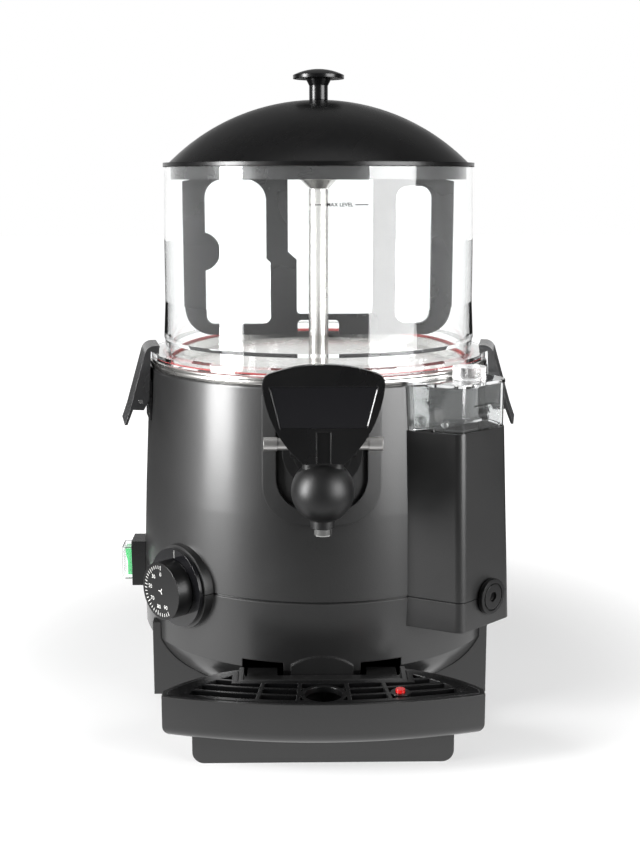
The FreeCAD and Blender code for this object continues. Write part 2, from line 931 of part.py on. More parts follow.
node("rubber_feet", group("rubber_feet", *(
    fuse(
        f"foot_{spot}",
        cylinder(f"foot_pad_{spot}", d.foot_radius, 0, d.stand_bottom, x, y),
        cylinder(
            f"foot_plug_{spot}", d.foot_radius / 2, 0, d.sole_height + d.foot_bite, x, y,
        ),
    )
    for spot, x, y in foot_spots
)))
node("housing_screws", group("housing_screws", *(
    fuse(
        f"housing_screw_{spot}",
        cylinder(
            f"housing_screw_head_{spot}", d.screw_head, d.stand_bottom - d.screw_cap,
            d.stand_bottom, x, y,
        ),
        cylinder(
            f"housing_screw_shank_{spot}", d.screw_radius, d.stand_bottom - d.screw_cap,
            d.sole_height + d.wall, x, y,
        ),
    )
    for spot, x, y in screw_spots
)))

# ---- service cover at the back, with vents, cable gland and terminal block
cover_outside = block(
    "cover_outside", -d.cover_half, d.cover_half, -d.cover_back, -d.cover_start,
    d.stand_top, d.cover_top,
)
cover_inside = block(
    "cover_inside", -(d.cover_half - d.cover_wall), d.cover_half - d.cover_wall,
    -(d.cover_back - d.cover_wall), -d.cover_start + d.cover_wall,
    d.stand_top - d.cover_wall, d.cover_top - d.cover_wall,
)
vents = [
    block(
        f"vent_{index}", -d.vent_half, d.vent_half, -d.cover_back - d.cover_wall,
        -d.cover_back + d.cover_wall * 2, d.vent_first + d.vent_pitch * index,
        d.vent_first + d.vent_pitch * index + d.vent_height,
    )
    for index in range(SIZES["vent_count"])
]
gland_hole = rod(
    "gland_hole", d.gland_radius - d.cover_wall, -d.stand_back, -d.cover_start,
    d.gland_height, -d.gland_side,
)
node("rear_cover", cut(
    "rear_cover", cover_outside, cover_inside, drum_clear, gland_hole, *vents,
))
gland_barrel = rod(
    "gland_barrel", d.gland_radius - d.cover_wall, -d.stand_back,
    -(d.cover_back - d.terminal_depth / 2), d.gland_height, -d.gland_side,
)
gland_flange = rod(
    "gland_flange", d.gland_radius, -d.stand_back + d.cover_wall, -d.cover_back,
    d.gland_height, -d.gland_side,
)
gland_nut = rod(
    "gland_nut", d.gland_hex, -(d.cover_back - d.cover_wall),
    -(d.cover_back - d.terminal_depth / 2), d.gland_height, -d.gland_side,
)
gland_bore = rod(
    "gland_bore", d.gland_bore, -d.stand_back, -(d.cover_back - d.terminal_depth / 2),
    d.gland_height, -d.gland_side,
)
node("cable_gland", cut(
    "cable_gland", fuse("gland_solid", gland_barrel, gland_flange, gland_nut), gland_bore,
))
node("terminal_block", block(
    "terminal_block", -d.terminal_half, d.terminal_half, -(d.cover_back - d.cover_wall),
    -(d.cover_back - d.cover_wall - d.terminal_depth), d.terminal_bottom,
    d.terminal_bottom + d.terminal_height,
))

# ---- water bath hanging in the drum's top
rim_top = d.drum_top + d.bath_rim
bath_shell = turned("bath_shell", [
    (0, d.bath_floor),
    (d.bath_radius, d.bath_floor),
    (d.bath_radius, d.drum_top),
    (d.bath_rim_radius - d.bath_rim / 4, d.drum_top),
    (d.bath_rim_radius - d.bath_rim / 4, rim_top, d.bath_rim_curve, -1),
    (d.bath_radius - d.bath_sheet, rim_top),
    (d.bath_radius - d.bath_sheet, d.bath_floor + d.bath_sheet),
    (0, d.bath_floor + d.bath_sheet),
])
leg_back = root(d.heater_ring * d.heater_ring - d.heater_leg_side * d.heater_leg_side)
leg_spots = (("left", -d.heater_leg_side), ("right", d.heater_leg_side))
bath_holes = [
    cylinder("bath_column_hole", d.column_radius, d.column_bottom, d.bath_floor + d.wall),
    rod("bath_outlet_hole", d.outlet_radius, d.outlet_back, d.tap_face, d.tap_height),
    rod(
        "bath_tank_hole", d.tank_pipe_radius, d.drain_drop, d.tank_back,
        d.tank_pipe_height, turn=d.box_turn,
    ),
    cylinder(
        "bath_drain_hole", d.plug_stem, d.bath_floor - d.wall, d.bath_floor + d.wall,
        d.plug_side, -d.drain_drop, d.box_turn,
    ),
    *(
        cylinder(
            f"bath_leg_hole_{side}", d.heater_leg, d.heater_leg_bottom,
            d.bath_floor + d.wall, x, leg_back,
        )
        for side, x in leg_spots
    ),
]
node("water_bath", cut("water_bath", bath_shell, *bath_holes))

# ---- dish: the bowl's steel floor
dish_top = rim_top + d.dish_sheet
dish_floor = dish_top - d.dish_depth
dish_shell = turned("dish_shell", [
    (d.column_radius, dish_floor - d.dish_sheet),
    (d.dish_slope, dish_floor - d.dish_sheet),
    (d.dish_land, rim_top),
    (d.dish_radius, rim_top),
    (d.dish_radius, dish_top),
    (d.dish_land - d.dish_sheet / 2, dish_top),
    (d.dish_slope - d.dish_sheet / 2, dish_floor),
    (d.column_radius, dish_floor),
])
sump_hole = cylinder(
    "sump_hole", d.outlet_radius, d.tap_height, dish_top, 0, -d.outlet_back,
)
node("heated_dish", cut("heated_dish", dish_shell, sump_hole))

outlet_drop = cylinder(
    "outlet_drop", d.outlet_radius, d.tap_height, dish_floor, 0, -d.outlet_back,
)
outlet_run = rod("outlet_run", d.outlet_radius, d.outlet_back, d.tap_face, d.tap_height)
outlet_bend = ball("outlet_bend", d.outlet_radius, 0, d.outlet_back, d.tap_height)
drop_bore = cylinder(
    "drop_bore", d.outlet_bore, d.tap_height, dish_top, 0, -d.outlet_back,
)
run_bore = rod("run_bore", d.outlet_bore, d.outlet_back, d.tap_reach, d.tap_height)
bend_bore = ball("bend_bore", d.outlet_bore, 0, d.outlet_back, d.tap_height)
node("outlet_pipe", cut(
    "outlet_pipe", fuse("outlet_solid", outlet_drop, outlet_run, outlet_bend),
    drop_bore, run_bore, bend_bore,
))

# ---- column, its bushes and the shaft
column_inner = d.column_radius - d.column_sheet
bush_bore = d.shaft_radius + d.running_fit
node("column_tube", cut(
    "column_tube",
    cylinder("column_outside", d.column_radius, d.column_bottom, d.column_top),
    cylinder("column_inside", column_inner, d.column_bottom, d.column_top),
))
node("lower_bush", cut(
    "lower_bush",
    cylinder(
        "lower_bush_outside", column_inner, d.column_bottom,
        d.column_bottom + d.bush_length,
    ),
    cylinder(
        "lower_bush_bore", bush_bore, d.column_bottom, d.column_bottom + d.bush_length,
    ),
))
node("upper_bush", cut(
    "upper_bush",
    cylinder(
        "upper_bush_outside", column_inner, d.column_top - d.bush_length, d.column_top,
    ),
    cylinder("upper_bush_bore", bush_bore, d.column_top - d.bush_length, d.column_top),
))
coupling_low = d.bracket_bottom + d.coupling_gap
coupling_high = coupling_low + d.coupling_length
shaft_top = d.hub_top - d.socket_depth
node("drive_shaft", cylinder("drive_shaft", d.shaft_radius, coupling_low, shaft_top))
node("motor_coupling", cut(
    "motor_coupling",
    cylinder("coupling_outside", d.coupling_radius, coupling_low, coupling_high),
    cylinder("coupling_bore", d.shaft_radius, coupling_low, coupling_high),
))

# ---- agitator: a flat gate plate behind the column with a hub on the shaft, steel below it
hub_low = d.column_top + d.clearance
hub_wide = hub_low + d.hub_cone
node("agitator_hub", cut(
    "agitator_hub",
    cone("hub_flare", d.column_radius, d.hub_radius, hub_low, hub_wide),
    cylinder("flare_bore", d.shaft_radius, hub_low, hub_wide),
))
gate_back = d.gate_front + d.gate_sheet


def gate_window(name, outline):
    return pushed(name, "XZ_Plane", outline, -gate_back * 2, gate_back)


gate_blank = pushed("gate_blank", "XZ_Plane", [
    (-d.gate_half, d.gate_bottom + d.gate_corner),
    (-(d.gate_half - d.gate_corner), d.gate_bottom, d.gate_corner, -1),
    (d.gate_half - d.gate_corner, d.gate_bottom),
    (d.gate_half, d.gate_bottom + d.gate_corner, d.gate_corner, -1),
    (d.gate_half, d.gate_shoulder),
    (d.gate_shoulder_half, d.gate_shoulder_top),
    (d.gate_shoulder_half, d.gate_top),
    (-d.gate_shoulder_half, d.gate_top),
    (-d.gate_shoulder_half, d.gate_shoulder_top),
    (-d.gate_half, d.gate_shoulder),
], -gate_back, -d.gate_front)
corner = d.window_corner
round_in = d.left_window_round
left_window = gate_window("left_window", [
    (-d.left_window_outer, d.left_window_bottom + corner),
    (-(d.left_window_outer - corner), d.left_window_bottom, corner, -1),
    (-(d.left_window_low_inner + corner), d.left_window_bottom),
    (-d.left_window_low_inner, d.left_window_bottom + corner, corner, -1),
    (-d.left_window_low_inner, d.left_window_step),
    (-d.left_window_inner, d.left_window_step + corner / 2),
    (-d.left_window_inner, hub_wide - round_in),
    (-(d.left_window_inner + round_in), hub_wide, round_in, -1),
    (-(d.left_window_outer - d.left_window_cut), hub_wide),
    (-d.left_window_outer, hub_wide - d.left_window_cut, d.left_window_cut, -1),
])
bend = d.right_window_round
right_window = gate_window("right_window", [
    (d.right_window_inner, d.right_window_bottom + bend),
    (d.right_window_inner + bend, d.right_window_bottom, bend, -1),
    (d.right_window_outer - bend, d.right_window_bottom),
    (d.right_window_outer, d.right_window_bottom + bend, bend, -1),
    (d.right_window_outer, d.right_window_top - bend),
    (d.right_window_outer - bend, d.right_window_top, bend, -1),
    (d.right_window_inner + bend, d.right_window_top),
    (d.right_window_inner, d.right_window_top - bend, bend, -1),
])
centre_window = gate_window("centre_window", [
    (-d.centre_left_lower, d.centre_bottom + corner / 2),
    (-(d.centre_left_lower - corner / 2), d.centre_bottom, corner / 2, -1),
    (d.centre_right - corner / 2, d.centre_bottom),
    (d.centre_right, d.centre_bottom + corner / 2, corner / 2, -1),
    (d.centre_right, hub_wide),
    (-d.centre_left_upper, hub_wide),
    (-d.centre_left_upper, d.centre_step + corner / 2),
    (-d.centre_left_lower, d.centre_step - corner / 2),
])
gate_notch = gate_window("gate_notch", [
    (-d.notch_half, d.gate_bottom - d.gate_sheet),
    (d.notch_half, d.gate_bottom - d.gate_sheet),
    (d.notch_half, d.notch_top - corner / 2),
    (d.notch_half - corner / 2, d.notch_top, corner / 2, -1),
    (-(d.notch_half - corner / 2), d.notch_top),
    (-d.notch_half, d.notch_top - corner / 2, corner / 2, -1),
])
bump_disc = doc.addObject("Part::Cylinder", "bump_disc")
bind(bump_disc, Radius=d.bump_radius, Height=d.gate_sheet)
pose(bump_disc, -d.bump_centre, gate_back, d.bump_height, (1, 0, 0), 90)
bump_limit = block(
    "bump_limit", -d.gate_half, -d.left_window_inner, -gate_back, -d.gate_front,
    d.gate_bottom, d.gate_top,
)
gate_bump = common("gate_bump", bump_disc, bump_limit)
gate_plate = cut(
    "gate_plate", gate_blank, left_window, right_window, centre_window, gate_notch,
)
hub_barrel = cylinder("hub_barrel", d.hub_radius, hub_wide, d.hub_top)
hub_socket = cylinder("hub_socket", d.shaft_radius, hub_low, shaft_top)
node("agitator", cut(
    "agitator", fuse("gate", gate_plate, gate_bump, hub_barrel), hub_socket,
))

# ---- gear motor, its bracket and screws
bracket_top = d.bracket_bottom + d.bracket_sheet
bracket_plate = block(
    "bracket_plate", -d.bracket_half, d.bracket_half, -d.bracket_depth, d.bracket_depth,
    d.bracket_bottom, bracket_top,
)
pillars = [
    cylinder(
        f"pillar_{index}", d.pillar_radius, d.bracket_bottom, d.bath_floor,
        (d.bracket_half - d.pillar_inset) * x, (d.bracket_depth - d.pillar_inset) * y,
    )
    for index, (x, y) in enumerate(((-1, -1), (1, -1), (-1, 1), (1, 1)))
]
motor_screw_spots = [
    (index, d.motor_screw_side * x, d.gearbox_front * y - d.screw_head * y * 2)
    for index, (x, y) in enumerate(((-1, -1), (1, -1), (-1, 1), (1, 1)))
]
motor_screw_holes = [
    cylinder(
        f"motor_screw_hole_{index}", d.screw_radius,
        d.bracket_bottom - d.gearbox_height / 2, bracket_top, x, y,
    )
    for index, x, y in motor_screw_spots
]
node("motor_bracket", cut(
    "motor_bracket", fuse("bracket_solid", bracket_plate, *pillars),
    cylinder(
        "bracket_hole", d.coupling_radius + d.bracket_sheet, d.bracket_bottom, bracket_top,
    ),
    *motor_screw_holes,
))
gearbox = block(
    "gearbox", -d.gearbox_half, d.gearbox_half, -d.gearbox_back, d.gearbox_front,
    d.bracket_bottom - d.gearbox_height, d.bracket_bottom,
)
motor_can = cylinder(
    "motor_can", d.motor_radius,
    d.bracket_bottom - d.gearbox_height - d.motor_length,
    d.bracket_bottom - d.gearbox_height, 0, d.motor_back,
)
node("gearmotor", cut(
    "gearmotor", fuse("gearmotor_solid", gearbox, motor_can), *motor_screw_holes,
))
node("motor_screws", group("motor_screws", *(
    fuse(
        f"motor_screw_{index}",
        cylinder(
            f"motor_screw_head_{index}", d.screw_head, bracket_top,
            bracket_top + d.screw_cap, x, y,
        ),
        cylinder(
            f"motor_screw_shank_{index}", d.screw_radius,
            d.bracket_bottom - d.gearbox_height / 2, bracket_top + d.screw_cap, x, y,
        ),
    )
    for index, x, y in motor_screw_spots
)))

# ---- heating ring with its two legs, nuts and the dry-boil cut-out
heater_torus = doc.addObject("Part::Torus", "heater_torus")
bind(heater_torus, Radius1=d.heater_ring, Radius2=d.heater_rod)
pose(heater_torus, 0, 0, d.heater_height)
node("heating_element", fuse("heating_element", heater_torus, *(
    cylinder(
        f"heater_leg_{side}", d.heater_leg, d.heater_leg_bottom, d.heater_height, x,
        leg_back,
    )
    for side, x in leg_spots
)))
node("element_nuts", group("element_nuts", *(
    cut(
        f"element_nut_{side}",
        cylinder(
            f"element_nut_outside_{side}", d.nut_radius, d.bath_floor - d.nut_height,
            d.bath_floor, x, leg_back,
        ),
        cylinder(
            f"element_nut_bore_{side}", d.heater_leg, d.bath_floor - d.nut_height,
            d.bath_floor, x, leg_back,
        ),
    )
    for side, x in leg_spots
)))
node("safety_cutout", cylinder(
    "safety_cutout", d.cutout_radius, d.bath_floor - d.cutout_height, d.bath_floor,
    -d.cutout_side, d.cutout_back,
))

# ---- bowl on its gasket
gasket_low = dish_top
flange_low = gasket_low + d.gasket_sheet
flange_top = flange_low + d.flange_height
bowl_bore = d.bowl_low_radius - d.bowl_wall
node("bowl_gasket", turned("bowl_gasket", [
    (d.gasket_inner, gasket_low),
    (d.gasket_outer, gasket_low),
    (d.gasket_outer, flange_low),
    (d.gasket_inner + d.gasket_lip, flange_low),
    (d.gasket_inner + d.gasket_lip, d.gasket_top),
    (d.gasket_inner, d.gasket_top),
]))
node("bowl", turned("bowl", [
    (bowl_bore, flange_low),
    (d.flange_radius, flange_low),
    (d.flange_radius, flange_top),
    (d.bowl_foot_radius, flange_top),
    (d.bowl_foot_radius, d.bowl_ridge - d.bowl_wall),
    (d.bowl_ridge_radius, d.bowl_ridge),
    (d.bowl_low_radius, d.bowl_low),
    (d.bowl_mid_radius, d.bowl_mid),
    (d.bowl_top_radius, d.bowl_top),
    (d.bowl_top_radius - d.bowl_wall, d.bowl_top),
    (d.bowl_mid_radius - d.bowl_wall, d.bowl_mid),
    (bowl_bore, d.bowl_low),
]))

# ---- lid with its knob
lid_low = d.bowl_top + d.clearance
lid_edge = lid_low + d.lid_flange_height
skirt_inner = d.lid_skirt_radius - d.lid_wall
lid_centre = d.lid_apex - d.lid_curve
lid_hollow = d.lid_curve - d.lid_wall
dome_inner_edge = lid_centre + root(lid_hollow * lid_hollow - skirt_inner * skirt_inner)
lid_outside = turned("lid_outside", [
    (0, d.lid_skirt_bottom),
    (d.lid_skirt_radius, d.lid_skirt_bottom),
    (d.lid_skirt_radius, lid_low),
    (d.lid_flange_radius, lid_low),
    (d.lid_flange_radius, lid_edge),
    (d.lid_dome_radius, lid_edge),
    (0, d.lid_apex, d.lid_curve, -1),
])
lid_inside = turned("lid_inside", [
    (0, d.lid_skirt_bottom - d.lid_wall),
    (skirt_inner, d.lid_skirt_bottom - d.lid_wall),
    (skirt_inner, dome_inner_edge),
    (0, d.lid_apex - d.lid_wall, lid_hollow, -1),
])
lid_screw_hole = cylinder(
    "lid_screw_hole", d.screw_radius, d.lid_apex - d.lid_wall * 2, d.lid_apex + d.wall,
)
node("lid", cut("lid", lid_outside, lid_inside, lid_screw_hole))
knob_rise = d.knob_top - d.knob_edge
knob_curve = (d.knob_radius * d.knob_radius + knob_rise * knob_rise) / (knob_rise * 2)
node("lid_knob", cut(
    "lid_knob",
    turned("knob_solid", [
        (0, d.lid_apex),
        (d.knob_stem, d.lid_apex),
        (d.knob_stem, d.knob_neck),
        (d.knob_flare, d.knob_under),
        (d.knob_radius, d.knob_under),
        (d.knob_radius, d.knob_edge),
        (0, d.knob_top, knob_curve, -1),
    ]),
    cylinder(
        "knob_screw_hole", d.screw_radius, d.lid_apex, d.lid_apex + d.knob_screw_up,
    ),
))
node("knob_screw", fuse(
    "knob_screw",
    cylinder(
        "knob_screw_head", d.screw_head, d.lid_apex - d.lid_wall - d.screw_cap,
        d.lid_apex - d.lid_wall - d.seat_fit,
    ),
    cylinder(
        "knob_screw_shank", d.screw_radius, d.lid_apex - d.lid_wall - d.screw_cap,
        d.lid_apex + d.knob_screw_up,
    ),
))

# ---- tap body: ball, nozzle, chimney for the valve, round yoke and two ears
tap_ball = ball("tap_ball", d.ball_radius, 0, d.tap_reach, d.tap_height)
tap_neck = rod("tap_neck", d.neck_radius, d.tap_face, d.tap_reach, d.tap_height)
tap_flange = rod(
    "tap_flange", d.tap_flange_radius, d.drum_radius - d.recess_depth,
    d.drum_radius + d.tap_flange, d.tap_height,
)
tap_collar = cylinder(
    "tap_collar", d.collar_radius, d.collar_bottom, d.tap_height, 0, -d.tap_reach,
)
nozzle = cylinder(
    "nozzle", d.nozzle_radius, d.nozzle_bottom, d.tap_height, 0, -d.tap_reach,
)
chimney = pushed("chimney", "XY_Plane", [
    (-d.chimney_half, -d.chimney_back),
    (-d.chimney_half, -d.chimney_front),
    (d.chimney_half, -d.chimney_front),
    (d.chimney_half, -d.chimney_back),
], d.tap_height, d.chimney_top)
rounded(chimney, d.chimney_corner, upright)
yoke = rod("yoke", d.yoke_radius, d.bath_radius, d.yoke_reach, d.yoke_height)
yoke_step = rod(
    "yoke_step", d.yoke_step, d.bath_radius, d.yoke_step_reach, d.yoke_height,
)
ears = []
for side, low_x, high_x in (
    ("left", -d.ear_outer, -d.ear_inner), ("right", d.ear_inner, d.ear_outer),
):
    ears.append(crossbar(
        f"ear_round_{side}", d.ear_radius, low_x, high_x, d.pin_reach, d.pin_height,
    ))
    ears.append(block(
        f"ear_arm_{side}", low_x, high_x, d.drum_radius, d.pin_reach,
        d.pin_height - d.ear_radius, d.pin_height + d.ear_radius - d.clearance,
    ))
tap_back = cut("tap_back", fuse("tap_yoke", tap_flange, yoke, yoke_step, *ears), drum_sunk)
valve_bore = cylinder(
    "valve_bore", d.valve_bore, d.valve_seat, d.chimney_top, 0, -d.tap_reach,
)
nozzle_bore = cylinder(
    "nozzle_bore", d.nozzle_bore, d.nozzle_bottom, d.valve_seat, 0, -d.tap_reach,
)
inlet_bore = rod("inlet_bore", d.outlet_bore, d.tap_face, d.tap_reach, d.tap_height)
ear_bore = crossbar(
    "ear_bore", d.pin_radius, -d.pin_half, d.pin_half, d.pin_reach, d.pin_height,
)
node("tap_body", cut(
    "tap_body",
    fuse("tap_solid", tap_back, tap_ball, tap_neck, tap_collar, nozzle, chimney),
    valve_bore, nozzle_bore, inlet_bore, ear_bore,
))
node("tap_bonnet", cut(
    "tap_bonnet",
    cylinder(
        "bonnet_outside", d.valve_bore, d.bonnet_bottom, d.bonnet_top, 0, -d.tap_reach,
    ),
    cylinder(
        "bonnet_bore", d.stem_radius + d.running_fit, d.bonnet_bottom, d.bonnet_top, 0,
        -d.tap_reach,
    ),
))
pin_heads = [
    crossbar(f"pin_head_{side}", d.pin_head, low_x, high_x, d.pin_reach, d.pin_height)
    for side, low_x, high_x in (
        ("left", -d.pin_half, -(d.pin_half - d.pin_head_length)),
        ("right", d.pin_half - d.pin_head_length, d.pin_half),
    )
]
node("tap_pin", fuse(
    "tap_pin",
    crossbar(
        "pin_shank", d.pin_radius, -d.pin_half, d.pin_half, d.pin_reach, d.pin_height,
    ),
    *pin_heads,
))

# ---- valve piston and its spring
seal_low = d.valve_seat + d.clearance
seal_high = seal_low + d.piston_seal
node("tap_piston", fuse(
    "tap_piston",
    cylinder(
        "piston_seal", d.valve_bore - d.running_fit, seal_low, seal_high, 0, -d.tap_reach,
    ),
    cylinder("piston_stem", d.stem_radius, seal_low, d.stem_top, 0, -d.tap_reach),
    cylinder(
        "piston_head", d.stem_head, d.stem_top - d.stem_head_height, d.stem_top, 0,
        -d.tap_reach,
    ),
))
spring_low = seal_high + d.clearance
spring_high = d.bonnet_bottom - d.clearance
node("tap_spring", cut(
    "tap_spring",
    cylinder("spring_outside", d.spring_radius, spring_low, spring_high, 0, -d.tap_reach),
    cylinder(
        "spring_inside", d.spring_radius - d.spring_wire * 2, spring_low, spring_high, 0,
        -d.tap_reach,
    ),
))

# ---- tap lever: shield, web, two lugs on the pin and the fork under the piston's head
shield_blank = pushed("shield_blank", "XZ_Plane", [
    (d.shield_tip_half, d.shield_tip),
    (d.shield_wide_half, d.shield_wide, d.shield_side_curve, -1),
    (d.shield_corner_half, d.shield_corner, d.shield_corner_curve, -1),
    (-d.shield_corner_half, d.shield_corner, d.shield_crown, -1),
    (-d.shield_wide_half, d.shield_wide, d.shield_corner_curve, -1),
    (-d.shield_tip_half, d.shield_tip, d.shield_side_curve, -1),
], d.shield_back, d.shield_front)


def panel(name, inset, near, far):
    return pushed(name, "XZ_Plane", [
        (-(d.panel_bottom_half - inset), d.panel_bottom + inset),
        (d.panel_bottom_half - inset, d.panel_bottom + inset),
        (d.panel_top_half - inset, d.panel_top - inset),
        (-(d.panel_top_half - inset), d.panel_top - inset),
    ], near, far)


panel_floor = d.shield_front - d.panel_depth
panel_recess = panel("panel_recess", as_size(0), panel_floor, d.shield_front + d.wall)
shield_groove = block(
    "shield_groove", -d.shield_groove_half, d.shield_groove_half,
    d.shield_front - d.shield_groove_depth, d.shield_front + d.wall,
    d.shield_tip - d.wall, d.shield_groove_top,
)
lug_outer = d.ear_inner - d.clearance
lever_parts = [cut("shield", shield_blank, panel_recess, shield_groove)]
for side, sign in (("left", -1), ("right", 1)):
    low_x, high_x = (-lug_outer, -d.lug_inner) if sign < 0 else (d.lug_inner, lug_outer)
    lever_parts.append(crossbar(
        f"lug_{side}", d.lug_radius, low_x, high_x, d.pin_reach, d.pin_height,
    ))
    lever_parts.append(block(
        f"web_{side}", low_x, high_x, d.pin_reach, d.shield_back, d.web_bottom, d.web_top,
    ))
    finger = d.stem_radius + d.clearance
    low_x, high_x = (-lug_outer / 2, -finger) if sign < 0 else (finger, lug_outer / 2)
    lever_parts.append(block(
        f"fork_{side}", low_x, high_x, d.fork_tip, d.pin_reach, d.fork_bottom,
        d.stem_top - d.stem_head_height - d.clearance,
    ))
lever_bore = crossbar(
    "lever_bore", d.pin_radius + d.running_fit, -d.pin_half, d.pin_half, d.pin_reach,
    d.pin_height,
)
node("tap_lever", cut("tap_lever", fuse("lever_solid", *lever_parts), lever_bore))
node("lever_panel", panel(
    "lever_panel", d.seat_fit, panel_floor, panel_floor + d.panel_sheet,
))

# ---- two latches that hold the bowl's flange down
hook_low = flange_top + d.clearance


latch_run = d.latch_low_reach - d.latch_top_reach
latch_fall = d.latch_top - d.latch_low
latch_length = root(latch_run * latch_run + latch_fall * latch_fall)
bend_reach = d.latch_top_reach + d.latch_bend * latch_run / latch_length
bend_height = d.latch_top - d.latch_bend * latch_fall / latch_length
bend_curve = d.latch_bend * latch_fall / (latch_length - latch_run)
root_share = (d.latch_top - d.hook_root) / latch_fall


def latch(side, turn):
    skin = pushed(f"latch_skin_{side}", "YZ_Plane", [
        (-d.hook_reach, d.latch_top),
        (-(d.latch_top_reach - d.latch_bend), d.latch_top),
        (-bend_reach, bend_height, bend_curve, -1),
        (-d.latch_low_reach, d.latch_low),
        (-d.lip_reach, d.lip_bottom),
        (-(d.lip_reach - d.lip_sheet), d.lip_bottom),
        (-(d.latch_low_reach - d.latch_sheet), d.latch_low),
        (-(d.latch_top_reach - d.latch_sheet + latch_run * root_share), d.hook_root),
        (-d.hook_root_reach, d.hook_root),
        (-d.hook_tip_reach, hook_low),
    ], -d.latch_half, d.latch_half)
    cheeks = [
        pushed(f"latch_cheek_{end}_{side}", "YZ_Plane", [
            (-(bend_reach - d.latch_sheet / 2), bend_height),
            (-(d.latch_top_reach - d.latch_sheet / 2), d.latch_top - d.latch_sheet),
            (-d.hook_root_reach, d.hook_root),
            (-d.cheek_upper_reach, d.cheek_upper),
            (-d.cheek_mid_reach, d.cheek_mid),
            (-d.cheek_low_reach, d.cheek_low),
            (-(d.latch_low_reach - d.latch_sheet / 2), d.latch_low),
        ], start, stop)
        for end, start, stop in (
            ("a", -d.latch_half, -(d.latch_half - d.latch_sheet)),
            ("b", d.latch_half - d.latch_sheet, d.latch_half),
        )
    ]
    pin_line = (d.latch_pin_reach, d.latch_pin_height)
    lever_hole = crossbar(
        f"latch_hole_{side}", d.latch_pin_radius + d.running_fit, -d.latch_half,
        d.latch_half, *pin_line,
    )
    lever = cut(
        f"latch_lever_{side}", fuse(f"latch_solid_{side}", skin, *cheeks), lever_hole,
    )
    node(f"latch_lever_{side}", pose(lever, turn=turn))

    plate = block(
        f"bracket_plate_{side}", -d.bracket_plate_half, d.bracket_plate_half,
        d.bath_radius, d.drum_top_radius + d.bracket_plate_out, d.bracket_plate_low,
        d.bracket_plate_high,
    )
    ear_out = d.latch_half - d.latch_sheet - d.clearance
    spans = (
        ("a", -ear_out, -(ear_out - d.bracket_ear_sheet)),
        ("b", ear_out - d.bracket_ear_sheet, ear_out),
    )
    ears = []
    for end, start, stop in spans:
        ears.append(crossbar(
            f"bracket_ear_{end}_{side}", d.bracket_ear, start, stop, *pin_line,
        ))
        ears.append(block(
            f"bracket_web_{end}_{side}", start, stop, d.bath_radius, d.latch_pin_reach,
            d.latch_pin_height - d.bracket_ear, d.latch_pin_height + d.bracket_ear,
        ))
    bracket_hole = crossbar(
        f"bracket_hole_{side}", d.latch_pin_radius, -d.latch_half, d.latch_half, *pin_line,
    )
    bracket = cut(
        f"latch_bracket_{side}", fuse(f"bracket_solid_{side}", plate, *ears), drum_solid,
        bracket_hole,
    )
    node(f"latch_bracket_{side}", pose(bracket, turn=turn))
    node(f"latch_pin_{side}", crossbar(
        f"latch_pin_{side}", d.latch_pin_radius, -d.latch_half, d.latch_half, *pin_line,
        turn=turn,
    ))


latch("left", -d.latch_turn)
latch("right", d.latch_turn)

# ---- thermostat with its spindle, bezel and dial
dial_turn = -d.dial_turn
thermostat_block = block(
    "thermostat_block", -d.thermostat_half, d.thermostat_half, d.thermostat_back,
    d.thermostat_front, d.seam_height - d.thermostat_half,
    d.seam_height + d.thermostat_half, dial_turn,
)
thermostat_nose = rod(
    "thermostat_nose", d.thermostat_nose, d.thermostat_front, d.bezel_reach - d.seam_groove,
    d.seam_height, turn=dial_turn,
)
spindle_hole = rod(
    "spindle_hole", d.spindle_radius + d.running_fit, d.thermostat_front, d.dial_reach,
    d.seam_height, turn=dial_turn,
)
node("thermostat_body", cut(
    "thermostat_body", fuse("thermostat_solid", thermostat_block, thermostat_nose),
    spindle_hole,
))
node("dial_bezel", cut(
    "dial_bezel",
    rod(
        "bezel_disc", d.bezel_radius, d.boss_reach, d.bezel_reach, d.seam_height,
        turn=dial_turn,
    ),
    rod(
        "bezel_hole", d.thermostat_nose, d.boss_reach, d.bezel_reach, d.seam_height,
        turn=dial_turn,
    ),
))
node("dial_spindle", rod(
    "dial_spindle", d.spindle_radius, d.thermostat_front + d.clearance, d.spindle_reach,
    d.seam_height, turn=dial_turn,
))
node("dial_knob", cut(
    "dial_knob",
    rod(
        "dial_disc", d.dial_radius, d.bezel_reach + d.clearance, d.dial_reach,
        d.seam_height, turn=dial_turn,
    ),
    rod(
        "dial_socket", d.spindle_radius, d.bezel_reach, d.spindle_reach, d.seam_height,
        turn=dial_turn,
    ),
))

# ---- rocker switch on the left side
def around_switch(name, half_width, half_height, near, far, turn=-90):
    return block(
        name, d.switch_offset - half_width, d.switch_offset + half_width, near, far,
        d.switch_height - half_height, d.switch_height + half_height, turn,
    )


